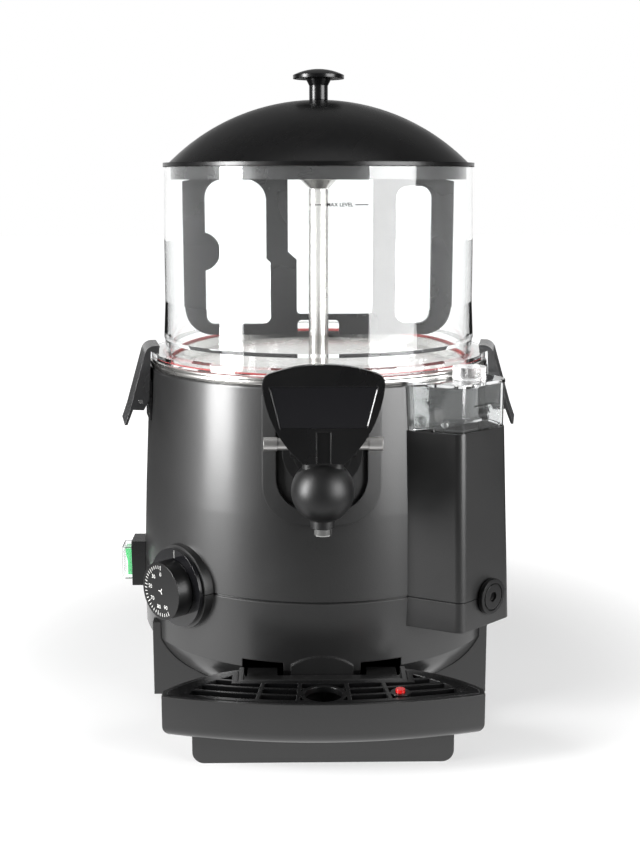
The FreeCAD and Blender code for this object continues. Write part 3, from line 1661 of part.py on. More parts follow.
node("switch_collar", cut(
    "switch_collar",
    around_switch(
        "collar_block", d.collar_half_width, d.collar_half_height, d.switch_back,
        d.collar_reach,
    ),
    drum_solid,
    around_switch(
        "collar_hole", d.switch_half_width, d.switch_half_height, d.switch_back,
        d.collar_reach,
    ),
))
switch_x = d.switch_offset
node("switch_body", cut(
    "switch_body",
    around_switch(
        "switch_block", d.switch_half_width, d.switch_half_height, d.switch_back,
        d.collar_reach,
    ),
    around_switch(
        "switch_pocket", d.rocker_half_width + d.clearance, d.pocket_half_height,
        d.pocket_floor, d.splash_reach,
    ),
    crossbar(
        "switch_pivot_hole", d.rocker_pin + d.running_fit,
        switch_x - d.switch_half_width, switch_x + d.switch_half_width, d.rocker_pivot,
        d.switch_height, -90,
    ),
))
rocker_cap = pushed("rocker_cap", "YZ_Plane", [
    (-d.rocker_reach, d.switch_height + d.rocker_half_height),
    (-(d.rocker_reach - d.rocker_dip), d.switch_height),
    (-(d.rocker_reach - d.rocker_dip), d.switch_height - d.rocker_half_height),
    (-(d.rocker_pivot + d.rocker_pin), d.switch_height - d.rocker_half_height),
    (-(d.rocker_pivot - d.rocker_pin * 2), d.switch_height),
    (-(d.rocker_pivot + d.rocker_pin), d.switch_height + d.rocker_half_height),
], switch_x - d.rocker_half_width, switch_x + d.rocker_half_width)
rocker_pins = crossbar(
    "rocker_pins", d.rocker_pin, switch_x - d.switch_half_width + d.clearance,
    switch_x + d.switch_half_width - d.clearance, d.rocker_pivot, d.switch_height,
)
node("rocker", pose(fuse("rocker", rocker_cap, rocker_pins), turn=-90))
node("splash_cover", cut(
    "splash_cover",
    around_switch(
        "splash_outside", d.splash_half_width, d.splash_half_height, d.collar_reach,
        d.splash_reach,
    ),
    around_switch(
        "splash_inside", d.splash_half_width - d.splash_sheet,
        d.splash_half_height - d.splash_sheet, d.collar_reach,
        d.splash_reach - d.splash_sheet,
    ),
))

# ---- clear level tank with its lid, cap and float
def tank_section(inset):
    return [
        (-(d.tank_back_half - inset), -(d.tank_back + inset)),
        (-(d.tank_half - inset), -(d.tank_reach - inset)),
        (d.tank_half - inset, -(d.tank_reach - inset)),
        (d.tank_back_half - inset, -(d.tank_back + inset)),
    ]


def tank_crown(name, inset, low, high):
    """The tank's part above the box: the plan of the box's rim, its back round the drum."""
    rim = pushed(name + "_rim", "XY_Plane", box_section(
        d.box_high_reach - inset, d.box_high_half - inset, box_high_back - inset,
        d.box_corner - inset,
    ), low, high)
    pose(rim, turn=d.box_turn)
    return cut(
        name, rim,
        turned(name + "_drum", drum_outline(inset + d.clearance)),
        cylinder(
            name + "_clearing", d.drum_top_radius + inset + d.clearance,
            d.drum_top - d.tank_lid_sheet - d.wall, d.cap_top,
        ),
    )


tank_outside = pushed(
    "tank_outside", "XY_Plane", tank_section(as_size(0)), d.tank_bottom,
    d.box_top + d.tank_wall,
)
rounded(tank_outside, d.tank_corner, upright)
tank_inside = pushed(
    "tank_inside", "XY_Plane", tank_section(d.tank_wall), d.tank_bottom + d.tank_wall,
    d.tank_top,
)
rounded(tank_inside, d.tank_corner - d.tank_wall, upright)
float_spot = (-d.float_side, -d.float_reach)
float_guide = cylinder(
    "float_guide", d.guide_radius, d.tank_bottom, d.float_seat, *float_spot, d.box_turn,
)
guide_bore = cylinder(
    "guide_bore", d.float_stem + d.running_fit, d.float_stem_bottom - d.wall, d.float_seat,
    *float_spot, d.box_turn,
)
tank_hole = rod(
    "tank_hole", d.tank_pipe_radius, d.tank_back, d.tank_back + d.tank_wall,
    d.tank_pipe_height, turn=d.box_turn,
)
tank_walls = cut(
    "tank_walls",
    fuse(
        "tank_solid", pose(tank_outside, turn=d.box_turn),
        tank_crown("tank_crown", d.tank_lip, d.box_top, d.tank_top),
    ),
    pose(tank_inside, turn=d.box_turn),
    tank_crown(
        "crown_inside", d.tank_lip + d.tank_wall, d.box_top + d.tank_wall,
        d.tank_top + d.tank_wall,
    ),
)
node("level_tank", cut(
    "level_tank", fuse("tank_guided", tank_walls, float_guide),
    guide_bore, tank_hole,
))
cap_hole = cylinder(
    "cap_hole", d.cap_hole, d.tank_bottom, d.cap_top, d.cap_side, -d.cap_reach, d.box_turn,
)
node("tank_lid", cut(
    "tank_lid",
    tank_crown("lid_plate", as_size(0), d.tank_top, d.tank_top + d.tank_lid_sheet),
    cap_hole,
))
cap_low = d.tank_top + d.tank_lid_sheet + d.clearance
cap_rib_radius = d.cap_radius * math.pi / (SIZES["cap_ribs"] * 2)
cap_ribs = [
    cylinder(
        f"cap_groove_{index}", cap_rib_radius / 2, cap_low + d.cap_plug / 2, d.cap_top,
        d.cap_side + d.cap_radius * round(math.cos(angle), 6),
        -d.cap_reach + d.cap_radius * round(math.sin(angle), 6),
    )
    for index, angle in enumerate(
        2 * math.pi * step / SIZES["cap_ribs"] for step in range(SIZES["cap_ribs"])
    )
]
cap_solid = fuse(
    "cap_solid",
    cylinder("cap_top_disc", d.cap_radius, cap_low, d.cap_top, d.cap_side, -d.cap_reach),
    cylinder(
        "cap_stopper", d.cap_hole - d.clearance, cap_low - d.cap_plug, cap_low,
        d.cap_side, -d.cap_reach,
    ),
)
node("tank_cap", pose(cut("tank_cap", cap_solid, *cap_ribs), turn=d.box_turn))
float_low = d.float_seat + d.clearance
node("level_float", pose(fuse(
    "level_float",
    cylinder(
        "float_body", d.float_radius, float_low, float_low + d.float_height, *float_spot,
    ),
    cylinder(
        "float_stem", d.float_stem, d.float_stem_bottom, d.float_ball_height, *float_spot,
    ),
    ball("float_tip", d.float_ball, -d.float_side, d.float_reach, d.float_ball_height),
), turn=d.box_turn))
node("tank_pipe", cut(
    "tank_pipe",
    rod(
        "tank_pipe_outside", d.tank_pipe_radius, d.bath_radius - d.bath_sheet * 2,
        d.tank_back + d.tank_wall, d.tank_pipe_height, turn=d.box_turn,
    ),
    rod(
        "tank_pipe_inside", d.tank_pipe_bore, d.bath_radius - d.bath_sheet * 2,
        d.tank_back + d.tank_wall, d.tank_pipe_height, turn=d.box_turn,
    ),
))

# ---- drain pipe from the bath's floor and the plug that closes it
drain_bore_radius = d.plug_stem + d.running_fit
drain_parts = []
for name, radius in (("outside", d.drain_radius), ("bore", drain_bore_radius)):
    drain_parts.append(fuse(
        f"drain_{name}",
        cylinder(
            f"drain_drop_{name}", radius, d.seam_height, d.bath_floor, d.plug_side,
            -d.drain_drop,
        ),
        rod(
            f"drain_run_{name}", radius, d.drain_drop, d.drain_reach, d.seam_height,
            d.plug_side,
        ),
        ball(f"drain_bend_{name}", radius, d.plug_side, d.drain_drop, d.seam_height),
    ))
node("drain_pipe", pose(cut("drain_pipe", *drain_parts), turn=d.box_turn))
plug_low = d.box_low_reach + d.plug_gap
plug_head = rod(
    "plug_head", d.plug_radius, plug_low, d.plug_reach, d.seam_height, d.plug_side,
)
plug_stem = rod(
    "plug_stem", d.plug_stem, d.plug_stem_back, plug_low + d.plug_gap, d.seam_height,
    d.plug_side,
)
ring_outer = rod(
    "ring_outer", d.plug_ring + d.plug_ring_depth / 2, d.plug_reach - d.plug_ring_depth,
    d.plug_reach + d.wall, d.seam_height, d.plug_side,
)
ring_inner = rod(
    "ring_inner", d.plug_ring - d.plug_ring_depth / 2, d.plug_reach - d.plug_ring_depth,
    d.plug_reach, d.seam_height, d.plug_side,
)
plug_groove = cut("plug_groove", ring_outer, ring_inner)
plug_recess = rod(
    "plug_recess", d.plug_recess, d.plug_reach - d.plug_recess_depth,
    d.plug_reach + d.wall, d.seam_height, d.plug_side,
)
node("drain_plug", pose(cut(
    "drain_plug", fuse("plug_solid", plug_head, plug_stem), plug_groove, plug_recess,
), turn=d.box_turn))


# ---- drip tray
def tray_outline(inset, sides=1):
    """The tray's plan: a long front arc, short sides and a back that clears the drum."""
    front = d.tray_curve - inset
    half = d.tray_half - inset * sides
    corner = root(front * front - half * half) - d.tray_centre
    return [
        (-half, -corner),
        (half, -corner, front, -1),
        (half, -(d.tray_side_back + inset / 2)),
        (d.tray_shoulder_half, -(d.tray_shoulder + inset), d.tray_back_curve, -1),
        (d.tray_back_half, -(d.tray_back + inset)),
        (-d.tray_back_half, -(d.tray_back + inset)),
        (-d.tray_shoulder_half, -(d.tray_shoulder + inset)),
        (-half, -(d.tray_side_back + inset / 2), d.tray_back_curve, -1),
    ]


tray_outside = pushed(
    "tray_outside", "XY_Plane", tray_outline(as_size(0)), d.tray_bottom, d.tray_top,
)
rounded(
    tray_outside, d.tray_round,
    lambda e: e.BoundBox.ZMax < d.tray_bottom.number + 0.01
    and e.BoundBox.YMax < -d.tray_side_back.number + 0.01,
)
tray_inside = pushed(
    "tray_inside", "XY_Plane", tray_outline(d.tray_wall), d.tray_bottom + d.tray_wall,
    d.tray_top + d.tray_wall,
)
tray_foot_outside = pushed(
    "tray_foot_outside", "XZ_Plane",
    u_outline(
        d.tray_foot_half, as_size(0), d.tray_foot_round, d.tray_bottom + d.tray_wall / 2,
    ),
    d.tray_foot_back, d.tray_foot_front,
)
tray_foot_inside = block(
    "tray_foot_inside", -(d.tray_foot_half - d.tray_foot_round),
    d.tray_foot_half - d.tray_foot_round, d.tray_foot_back + d.tray_wall,
    d.tray_foot_front - d.tray_wall, -d.tray_wall, d.tray_bottom - d.tray_wall,
)
tray_shell = cut("tray_shell", tray_outside, tray_inside)
tray_foot = cut("tray_foot", tray_foot_outside, tray_foot_inside)
hook_seat = d.slot_bottom + d.clearance
shelf_top = hook_seat + d.hook_sheet
bay_walls = block(
    "bay_walls", -(d.bay_half + d.tray_wall), d.bay_half + d.tray_wall,
    d.tray_back + d.tray_wall / 2, d.bay_front, d.tray_bottom + d.tray_wall / 2, d.tray_top,
)
bay_space = block(
    "bay_space", -d.bay_half, d.bay_half, d.tray_foot_back, d.bay_front - d.tray_wall,
    shelf_top, d.tray_top + d.tray_wall,
)
bay_hollow = block(
    "bay_hollow", -(d.bay_half - d.tray_wall), d.bay_half - d.tray_wall,
    d.tray_back + d.tray_wall, d.bay_front - d.tray_wall * 2,
    d.tray_bottom - d.tray_wall * 2, shelf_top - d.tray_wall,
)
tray_hooks = [
    block(
        f"tray_hook_{side}", left, right, d.hook_back, d.tray_back + d.tray_wall / 2,
        hook_seat, shelf_top,
    )
    for side, left, right in (
        ("left", -d.hook_outer, -d.hook_inner), ("right", d.hook_inner, d.hook_outer),
    )
]
drum_wide = turned("drum_wide", drum_outline(d.tray_drum_gap))
tray_base = cut(
    "tray_base", fuse("tray_solid", tray_shell, tray_foot, bay_walls), drum_wide, bay_space,
    bay_hollow,
)
node("drip_tray", fuse("drip_tray", tray_base, *tray_hooks))

# ---- grid: arc-shaped slots about the front arc's centre, with spokes and a finger hole
grid_low = d.tray_top - d.grid_sheet + d.clearance
grid_high = grid_low + d.grid_sheet
grid_gap = d.tray_wall + d.clearance
bay_reach = d.bay_front + d.clearance
bay_side = d.bay_half + grid_gap
grid_plate = cut(
    "grid_plate",
    pushed("grid_blank", "XY_Plane", tray_outline(grid_gap), grid_low, grid_high),
    block(
        "grid_bay", -bay_side, bay_side, d.tray_foot_back, bay_reach, grid_low - d.wall,
        grid_high + d.wall,
    ),
)
slot_zone = cut(
    "slot_zone",
    pushed(
        "slot_blank", "XY_Plane", tray_outline(grid_gap + d.grid_edge, 2),
        grid_low - d.wall, grid_high + d.wall,
    ),
    block(
        "slot_bay", -(bay_side + d.grid_edge), bay_side + d.grid_edge, d.tray_foot_back,
        bay_reach + d.grid_edge, grid_low - d.wall * 2, grid_high + d.wall * 2,
    ),
)
slot_rows = []
for index in range(SIZES["grid_rows"]):
    outer = d.grid_first - (d.grid_row + d.grid_rib) * index
    slot_rows.append(cut(
        f"slot_row_{index}",
        cylinder(f"row_outer_{index}", outer, grid_low, grid_high, 0, d.tray_centre),
        cylinder(
            f"row_inner_{index}", outer - d.grid_row, grid_low, grid_high, 0, d.tray_centre,
        ),
    ))
spokes = []
for index, angle in enumerate((d.spoke_inner, d.spoke_outer, d.spoke_side)):
    for side, sign in (("left", -1), ("right", 1)):
        spoke = doc.addObject("Part::Box", f"spoke_{index}_{side}")
        bind(spoke, Length=d.spoke_half * 2, Width=d.tray_curve, Height=d.grid_sheet)
        turn = angle * sign
        spin = f"rotation(vector(0; 0; 1); {turn.text})"
        spoke.setExpression("Placement", (
            f"placement(vector(0; {d.tray_centre.text}; {grid_low.text}); {spin})"
            f" * placement(vector({(-d.spoke_half).text}; {(-d.tray_curve).text}; 0);"
            " rotation(vector(0; 0; 1); 0))"
        ))
        spokes.append(spoke)
finger_spot = (0, -d.finger_reach)
mark_spot = (d.mark_side, -d.mark_reach)
finger_ring = cylinder(
    "finger_ring", d.finger_radius + d.finger_rim, grid_low, grid_high, *finger_spot,
)
mark_ring = cylinder("mark_ring", d.mark_seat, grid_low, grid_high, *mark_spot)
open_rows = common("open_rows", fuse("all_rows", *slot_rows), slot_zone)
slots = cut("slots", open_rows, *spokes, finger_ring, mark_ring)
finger_hole = cylinder(
    "finger_hole", d.finger_radius, grid_low, grid_high, *finger_spot,
)
mark_hole = cylinder(
    "mark_hole", d.mark_radius + d.clearance, grid_low, grid_high, *mark_spot,
)
grid_legs = [
    block(
        f"grid_leg_{side}", left, right, near, near + d.tray_wall,
        d.tray_bottom + d.tray_wall + d.clearance, grid_low,
    )
    for side, left, right, near in (
        (
            "left", -(d.tray_half - d.tray_wall * 3), -(d.tray_half - d.tray_wall * 4),
            d.tray_side_back,
        ),
        (
            "right", d.tray_half - d.tray_wall * 4, d.tray_half - d.tray_wall * 3,
            d.tray_side_back,
        ),
        ("middle", -d.tray_wall / 2, d.tray_wall / 2, bay_reach),
    )
]
node("drip_grid", fuse(
    "drip_grid", cut("grid_open", grid_plate, slots, finger_hole, mark_hole), *grid_legs,
))
mark_low = d.tray_bottom + d.tray_wall + d.clearance
node("tray_float", fuse(
    "tray_float",
    cylinder(
        "mark_disc", d.mark_disc, mark_low, mark_low + d.mark_disc_height, *mark_spot,
    ),
    cylinder("mark_stem", d.mark_radius, mark_low, d.mark_top, *mark_spot),
))

# ---- check every object, then write each piece
doc.recompute()
for thing in doc.Objects:
    if "Invalid" in thing.State or "Error" in thing.State:
        raise RuntimeError(f"{thing.Name} did not build: {thing.State}")
for name, thing in nodes.items():
    if thing.Shape.isNull() or not thing.Shape.isValid() or not thing.Shape.Solids:
        raise RuntimeError(f"{name} has no valid solid")
os.makedirs("parts", exist_ok=True)
for name, thing in nodes.items():
    thing.Shape.exportStep(f"parts/{name}.step")
print(len(nodes), "pieces written")
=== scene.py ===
# %% [markdown]
# # A hot chocolate machine, dressed in Blender
# The machine's engineering model already exists. It has sixty named parts, stands on the
# ground with the bowl's axis at the origin, and its tap faces -Y. This lesson gives every
# part its finish and adds the small things that solids leave out: printed marks, dial
# numbers, bright trim and a pressed gasket. Blender works in metres. Sizes that read
# better in millimetres are divided by MM_PER_METRE where they are used.

# %% Load the engineering model
import json
from math import cos, pi, radians, sin

import bmesh
import bpy
from mathutils import Matrix, Vector


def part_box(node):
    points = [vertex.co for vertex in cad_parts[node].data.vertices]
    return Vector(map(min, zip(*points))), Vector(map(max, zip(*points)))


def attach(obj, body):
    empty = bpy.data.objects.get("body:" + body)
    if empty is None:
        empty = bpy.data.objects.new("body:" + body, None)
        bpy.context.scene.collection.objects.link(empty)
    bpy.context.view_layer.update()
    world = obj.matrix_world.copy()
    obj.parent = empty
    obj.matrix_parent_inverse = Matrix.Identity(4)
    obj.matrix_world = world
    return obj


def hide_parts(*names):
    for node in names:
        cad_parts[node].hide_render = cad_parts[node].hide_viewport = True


MM_PER_METRE = 1000

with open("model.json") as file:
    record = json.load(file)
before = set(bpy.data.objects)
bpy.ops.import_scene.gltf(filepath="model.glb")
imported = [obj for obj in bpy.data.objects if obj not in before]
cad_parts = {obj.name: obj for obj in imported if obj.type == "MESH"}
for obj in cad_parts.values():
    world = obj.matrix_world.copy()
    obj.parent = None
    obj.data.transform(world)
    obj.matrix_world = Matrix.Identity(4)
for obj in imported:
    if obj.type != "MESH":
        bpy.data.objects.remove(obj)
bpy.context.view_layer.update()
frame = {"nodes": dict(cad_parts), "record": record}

# %% [markdown]
# ## Shared effects
# A finish is more than one colour. The same few effects, such as a fine moulded grain or
# the faint rings of turned steel, come back in many finishes. They could be copied into
# each material, but then a change has to be made everywhere. So each effect is a shader
# node group with named inputs, built once. A group gives out only a number or a colour,
# and the shader itself stays in the material.


# %% Helpers that build node trees
def new_effect(title, inputs, outputs):
    """An empty shader group: inputs are (name, default), outputs are (name, kind)."""
    group = bpy.data.node_groups.new(title, "ShaderNodeTree")
    for name, default in inputs:
        kind = "NodeSocketColor" if isinstance(default, tuple) else "NodeSocketFloat"
        socket = group.interface.new_socket(name=name, in_out="INPUT", socket_type=kind)
        socket.default_value = default
    for name, kind in outputs:
        group.interface.new_socket(
            name=name, in_out="OUTPUT", socket_type="NodeSocket" + kind,
        )
    return group, group.nodes.new("NodeGroupInput"), group.nodes.new("NodeGroupOutput")


def add(tree, kind, inputs, **settings):
    """A node of that kind, with plain settings, and with inputs linked or filled in."""
    made = tree.nodes.new("ShaderNode" + kind)
    for name, value in settings.items():
        setattr(made, name, value)
    for name, source in inputs.items():
        socket = made.inputs[name]
        if isinstance(source, bpy.types.NodeSocket):
            tree.links.new(source, socket)
        else:
            socket.default_value = source
    return made


def reckon(tree, operation, *values):
    """The result of a Math node on two or three values or sockets."""
    made = add(tree, "Math", dict(enumerate(values)), operation=operation)
    return made.outputs["Value"]


def ramp(tree, value, start, end, low, high, kind="SMOOTHSTEP"):
    """Goes from low to high while the value goes from start to end."""
    made = add(tree, "MapRange", {
        "Value": value, "From Min": start, "From Max": end, "To Min": low, "To Max": high,
    }, interpolation_type=kind)
    return made.outputs["Result"]


# %% [markdown]
# ### Moulded grain
# Moulded plastic has a grain of a few tenths of a millimetre, left by the etched mould.
# It is far too fine to model, so it is a height that a Bump node reads. Noise in the
# object's own coordinates gives it the same size on every part.

# %% Effect: moulded grain
grain, ins, outs = new_effect(
    "moulded_grain", [("Size", 1400.0), ("Evenness", 0.5)], [("Height", "Float")],
)
place = add(grain, "TexCoord", {})
pebbles = add(grain, "TexNoise", {
    "Vector": place.outputs["Object"], "Scale": ins.outputs["Size"], "Detail": 3.0,
    "Roughness": ins.outputs["Evenness"],
})
grain.links.new(pebbles.outputs["Fac"], outs.inputs["Height"])
print("effect:", grain.name)

# %% [markdown]
# ### Patches of wiping
# No surface has one roughness all over. Handling and wiping leave broad, soft patches
# that are a little duller or shinier. A painted mask could show them, but soft noise
# needs no picture file, so this effect uses it to move between two roughness values.

# %% Effect: patches of wiping
wiping, ins, outs = new_effect(
    "wiped_patches",
    [("Size", 14.0), ("Shiny", 0.3), ("Dull", 0.45)],
    [("Roughness", "Float")],
)
place = add(wiping, "TexCoord", {})
clouds = add(wiping, "TexNoise", {
    "Vector": place.outputs["Object"], "Scale": ins.outputs["Size"], "Detail": 5.0,
    "Roughness": 0.55, "Distortion": 0.4,
})
spread = ramp(
    wiping, clouds.outputs["Fac"], 0.3, 0.7, ins.outputs["Shiny"], ins.outputs["Dull"],
)
wiping.links.new(spread, outs.inputs["Roughness"])
print("effect:", wiping.name)

# %% [markdown]
# ### Turned rings
# Turned and spun steel keeps fine rings round its axis. A Wave texture could draw them,
# but all alike. Noise that is left wide in two directions and squeezed along the height
# reads as uneven rings on every upright part.

# %% Effect: turned rings
rings, ins, outs = new_effect(
    "turned_rings", [("Fineness", 900.0)], [("Height", "Float")],
)
place = add(rings, "TexCoord", {})
squeezed = add(rings, "Mapping", {
    "Vector": place.outputs["Object"], "Scale": (0.02, 0.02, 1.0),
})
streaks = add(rings, "TexNoise", {
    "Vector": squeezed.outputs["Vector"], "Scale": ins.outputs["Fineness"],
    "Detail": 2.0,
})
rings.links.new(streaks.outputs["Fac"], outs.inputs["Height"])
print("effect:", rings.name)

# %% [markdown]
# ### Settled dust
# A black surface in a kitchen always carries a little pale dust. Dust lies on what faces
# up, so the height of the normal is the mask, and noise breaks it up into specks.

# %% Effect: settled dust
dust, ins, outs = new_effect(
    "settled_dust",
    [("Finish", (0.03, 0.03, 0.03, 1.0)), ("Dust", (0.25, 0.24, 0.23, 1.0)),
     ("Amount", 0.12)],
    [("Color", "Color")],
)
place = add(dust, "TexCoord", {})
facing = add(dust, "SeparateXYZ", {"Vector": place.outputs["Normal"]})
specks = add(dust, "TexNoise", {
    "Vector": place.outputs["Object"], "Scale": 160.0, "Detail": 6.0,
    "Roughness": 0.7,
})
faces_up = ramp(dust, facing.outputs["Z"], 0.35, 1.0, 0.0, 1.0, kind="LINEAR")
broken_up = ramp(dust, specks.outputs["Fac"], 0.4, 0.75, 0.0, 1.0, kind="LINEAR")
mask = reckon(dust, "MULTIPLY", faces_up, broken_up)
share = reckon(dust, "MULTIPLY", mask, ins.outputs["Amount"])
blend = add(dust, "Mix", {
    "Factor": share, "A": ins.outputs["Finish"], "B": ins.outputs["Dust"],
}, data_type="RGBA")
dust.links.new(blend.outputs["Result"], outs.inputs["Color"])
print("effect:", dust.name)

# %% [markdown]
# ## Finishes
# Each finish is one Principled shader with the shared effects placed in it at its own
# sizes. Real edges are never sharp. The Bevel node bends the light round an edge as a
# small rounding would, and leaves the mesh as it is.

# %% Helpers for any finish
EDGE_SAMPLES = 4


def new_finish(title):
    """A material with a Principled shader: returns material, tree and shader."""
    made = bpy.data.materials.new(title)
    made.use_nodes = True
    tree = made.node_tree
    return made, tree, tree.nodes["Principled BSDF"]


def effect(tree, group, **values):
    """Places a shared effect in a finish, with values for its inputs."""
    placed = tree.nodes.new("ShaderNodeGroup")
    placed.node_tree = group
    for name, value in values.items():
        placed.inputs[name].default_value = value
    return placed


def relief(tree, shader, height, depth, edge):
    """Feeds a height into the shader's normal, over edges rounded by that radius."""
    bump = add(tree, "Bump", {"Height": height, "Strength": 1.0, "Distance": depth})
    if edge:
        eased = add(tree, "Bevel", {"Radius": edge}, samples=EDGE_SAMPLES)
        tree.links.new(eased.outputs["Normal"], bump.inputs["Normal"])
    tree.links.new(bump.outputs["Normal"], shader.inputs["Normal"])


finish = {}

# %% [markdown]
# ### Moulded plastics
# Black plastic gets its grey from highlights and not from its pigment, so its colour is
# close to zero. The drum's etched skin is dull with a soft sheen over it, which is a
# rough base under a coat. The lever's panel and the dial's bezel are polished. The tap's
# body is the dullest. A plain black at one roughness would make all of them look alike.


# %% A moulded plastic
def moulded(title, colour, shiny, dull, grain_size, grain_depth, dusty=0.1,
            coat=0.0, coat_dull=0.08, edge=0.0006):
    """A colour, two roughness values, a grain, some dust, a coat and eased edges."""
    made, tree, shader = new_finish(title)
    patches = effect(tree, wiping, Shiny=shiny, Dull=dull)
    tree.links.new(patches.outputs["Roughness"], shader.inputs["Roughness"])
    settled = effect(tree, dust, Finish=(*colour, 1.0), Amount=dusty)
    tree.links.new(settled.outputs["Color"], shader.inputs["Base Color"])
    pebbled = effect(tree, grain, Size=grain_size)
    relief(tree, shader, pebbled.outputs["Height"], grain_depth, edge)
    shader.inputs["Coat Weight"].default_value = coat
    shader.inputs["Coat Roughness"].default_value = coat_dull
    return made


# %% Black plastics
finish["drum_plastic"] = moulded(
    "textured_drum_plastic", colour=(0.0035, 0.0035, 0.0036), shiny=0.42, dull=0.50,
    grain_size=900.0, grain_depth=0.00008, dusty=0.02, coat=0.7, coat_dull=0.23,
    edge=0.001,
)
finish["black_plastic"] = moulded(
    "satin_black_plastic", colour=(0.003, 0.003, 0.0032), shiny=0.22, dull=0.32,
    grain_size=1500.0, grain_depth=0.00002, dusty=0.012, edge=0.0009,
)
finish["gloss_black"] = moulded(
    "polished_black_plastic", colour=(0.006, 0.006, 0.007), shiny=0.07, dull=0.14,
    grain_size=300.0, grain_depth=0.000004, dusty=0.02, coat=0.6,
)
finish["matt_black"] = moulded(
    "matt_black_plastic", colour=(0.004, 0.004, 0.0042), shiny=0.40, dull=0.48,
    grain_size=1100.0, grain_depth=0.00004, dusty=0.02, edge=0.0008,
)
finish["latch_metal"] = moulded(
    "coated_latch_metal", colour=(0.03, 0.03, 0.031), shiny=0.18, dull=0.28,
    grain_size=800.0, grain_depth=0.00001, dusty=0.05,
)
print("black finishes:", sorted(finish))

# %% [markdown]
# ### Coloured plastics and rubber
# The rocker and the float are small glossy mouldings in a strong colour. Silicone and
# rubber are duller, because a soft surface scatters more light.

# %% Coloured plastics and rubber
finish["green_rocker"] = moulded(
    "green_rocker_plastic", colour=(0.012, 0.30, 0.075), shiny=0.12, dull=0.2,
    grain_size=400.0, grain_depth=0.000004, dusty=0.02, coat=0.4,
)
finish["red_float"] = moulded(
    "red_float_plastic", colour=(0.55, 0.012, 0.012), shiny=0.12, dull=0.2,
    grain_size=400.0, grain_depth=0.000004, dusty=0.02, coat=0.4,
)
finish["red_silicone"] = moulded(
    "red_silicone", colour=(0.26, 0.026, 0.025), shiny=0.35, dull=0.5,
    grain_size=500.0, grain_depth=0.00002, dusty=0.05,
)
finish["foot_rubber"] = moulded(
    "red_foot_rubber", colour=(0.22, 0.012, 0.012), shiny=0.6, dull=0.8,
    grain_size=700.0, grain_depth=0.00008,
)
print("with colours:", len(finish))

# %% [markdown]
# ### Printing inks
# Printed marks are a few hundredths of a millimetre thick. The Bevel node would round
# such a thin film away, so inks go without it.

# %% Printing inks
finish["white_print"] = moulded(
    "white_print", colour=(0.72, 0.72, 0.70), shiny=0.35, dull=0.45,
    grain_size=900.0, grain_depth=0.000002, edge=0.0,
)
finish["dark_print"] = moulded(
    "dark_print", colour=(0.004, 0.004, 0.004), shiny=0.5, dull=0.6,
    grain_size=900.0, grain_depth=0.000002, edge=0.0,
)
print("with inks:", len(finish))

# %% [markdown]
# ### Metals
# The shaft, the dish, the pins and the screws are bare steel, and the bushes are brass.
# A metal's colour is its reflection's tint, so it is bright, and the roughness tells a
# brushed piece from a polished one.

# %% Metals
METAL_EDGE = 0.0004
METAL_PATCHES = 30.0


def metal(title, colour, shiny, dull, ring_depth, fineness=900.0):
    """A metal with turned rings: a colour and two roughness values."""
    made, tree, shader = new_finish(title)
    shader.inputs["Base Color"].default_value = (*colour, 1.0)
    shader.inputs["Metallic"].default_value = 1.0
    patches = effect(tree, wiping, Size=METAL_PATCHES, Shiny=shiny, Dull=dull)
    tree.links.new(patches.outputs["Roughness"], shader.inputs["Roughness"])
    turned = effect(tree, rings, Fineness=fineness)
    relief(tree, shader, turned.outputs["Height"], ring_depth, METAL_EDGE)
    return made


finish["steel"] = metal(
    "brushed_steel", colour=(0.60, 0.59, 0.57), shiny=0.18, dull=0.30,
    ring_depth=0.00001,
)
finish["bright_steel"] = metal(
    "polished_steel", colour=(0.70, 0.70, 0.69), shiny=0.08, dull=0.16,
    ring_depth=0.000004,
)
finish["dull_steel"] = metal(
    "dull_steel", colour=(0.62, 0.61, 0.60), shiny=0.34, dull=0.42,
    ring_depth=0.00001,
)
finish["motor_metal"] = metal(
    "cast_motor_metal", colour=(0.35, 0.36, 0.37), shiny=0.4, dull=0.55,
    ring_depth=0.00003, fineness=300.0,
)
finish["bush_brass"] = metal(
    "machined_brass", colour=(0.72, 0.52, 0.24), shiny=0.15, dull=0.25,
    ring_depth=0.00001,
)
print("with metals:", len(finish))

# %% [markdown]
# ### Clear plastics
# The bowl, the level tank and the switch's cover are clear mouldings. In a path tracer a
# clear solid throws a shadow as dark as a black one, unless many bent rays find a lamp.
# Letting most of each shadow ray through gives the pale shadow of real clear plastic at
# a fraction of the time.

# %% Clear plastics
PLASTIC_INDEX = 1.49
CLEAR_PATCHES = 22.0


def clear(title, colour, shiny, dull, see_through_shadow):
    """A clear moulded plastic that lets a share of its shadow through."""
    made, tree, shader = new_finish(title)
    shader.inputs["Base Color"].default_value = (*colour, 1.0)
    shader.inputs["Transmission Weight"].default_value = 1.0
    shader.inputs["IOR"].default_value = PLASTIC_INDEX
    patches = effect(tree, wiping, Size=CLEAR_PATCHES, Shiny=shiny, Dull=dull)
    tree.links.new(patches.outputs["Roughness"], shader.inputs["Roughness"])
    ray = add(tree, "LightPath", {})
    solid = reckon(
        tree, "MULTIPLY_ADD", ray.outputs["Is Shadow Ray"], -see_through_shadow, 1.0,
    )
    tree.links.new(solid, shader.inputs["Alpha"])
    return made


finish["clear_bowl"] = clear(
    "clear_bowl_plastic", colour=(0.97, 0.98, 0.98), shiny=0.01, dull=0.03,
    see_through_shadow=0.9,
)
finish["clear_tank"] = clear(
    "smoky_tank_plastic", colour=(0.80, 0.81, 0.81), shiny=0.03, dull=0.08,
    see_through_shadow=0.8,
)
finish["frosted_clear"] = clear(
    "frosted_clear_plastic", colour=(0.97, 0.97, 0.97), shiny=0.22, dull=0.32,
    see_through_shadow=0.9,
)
print("finishes:", len(finish))

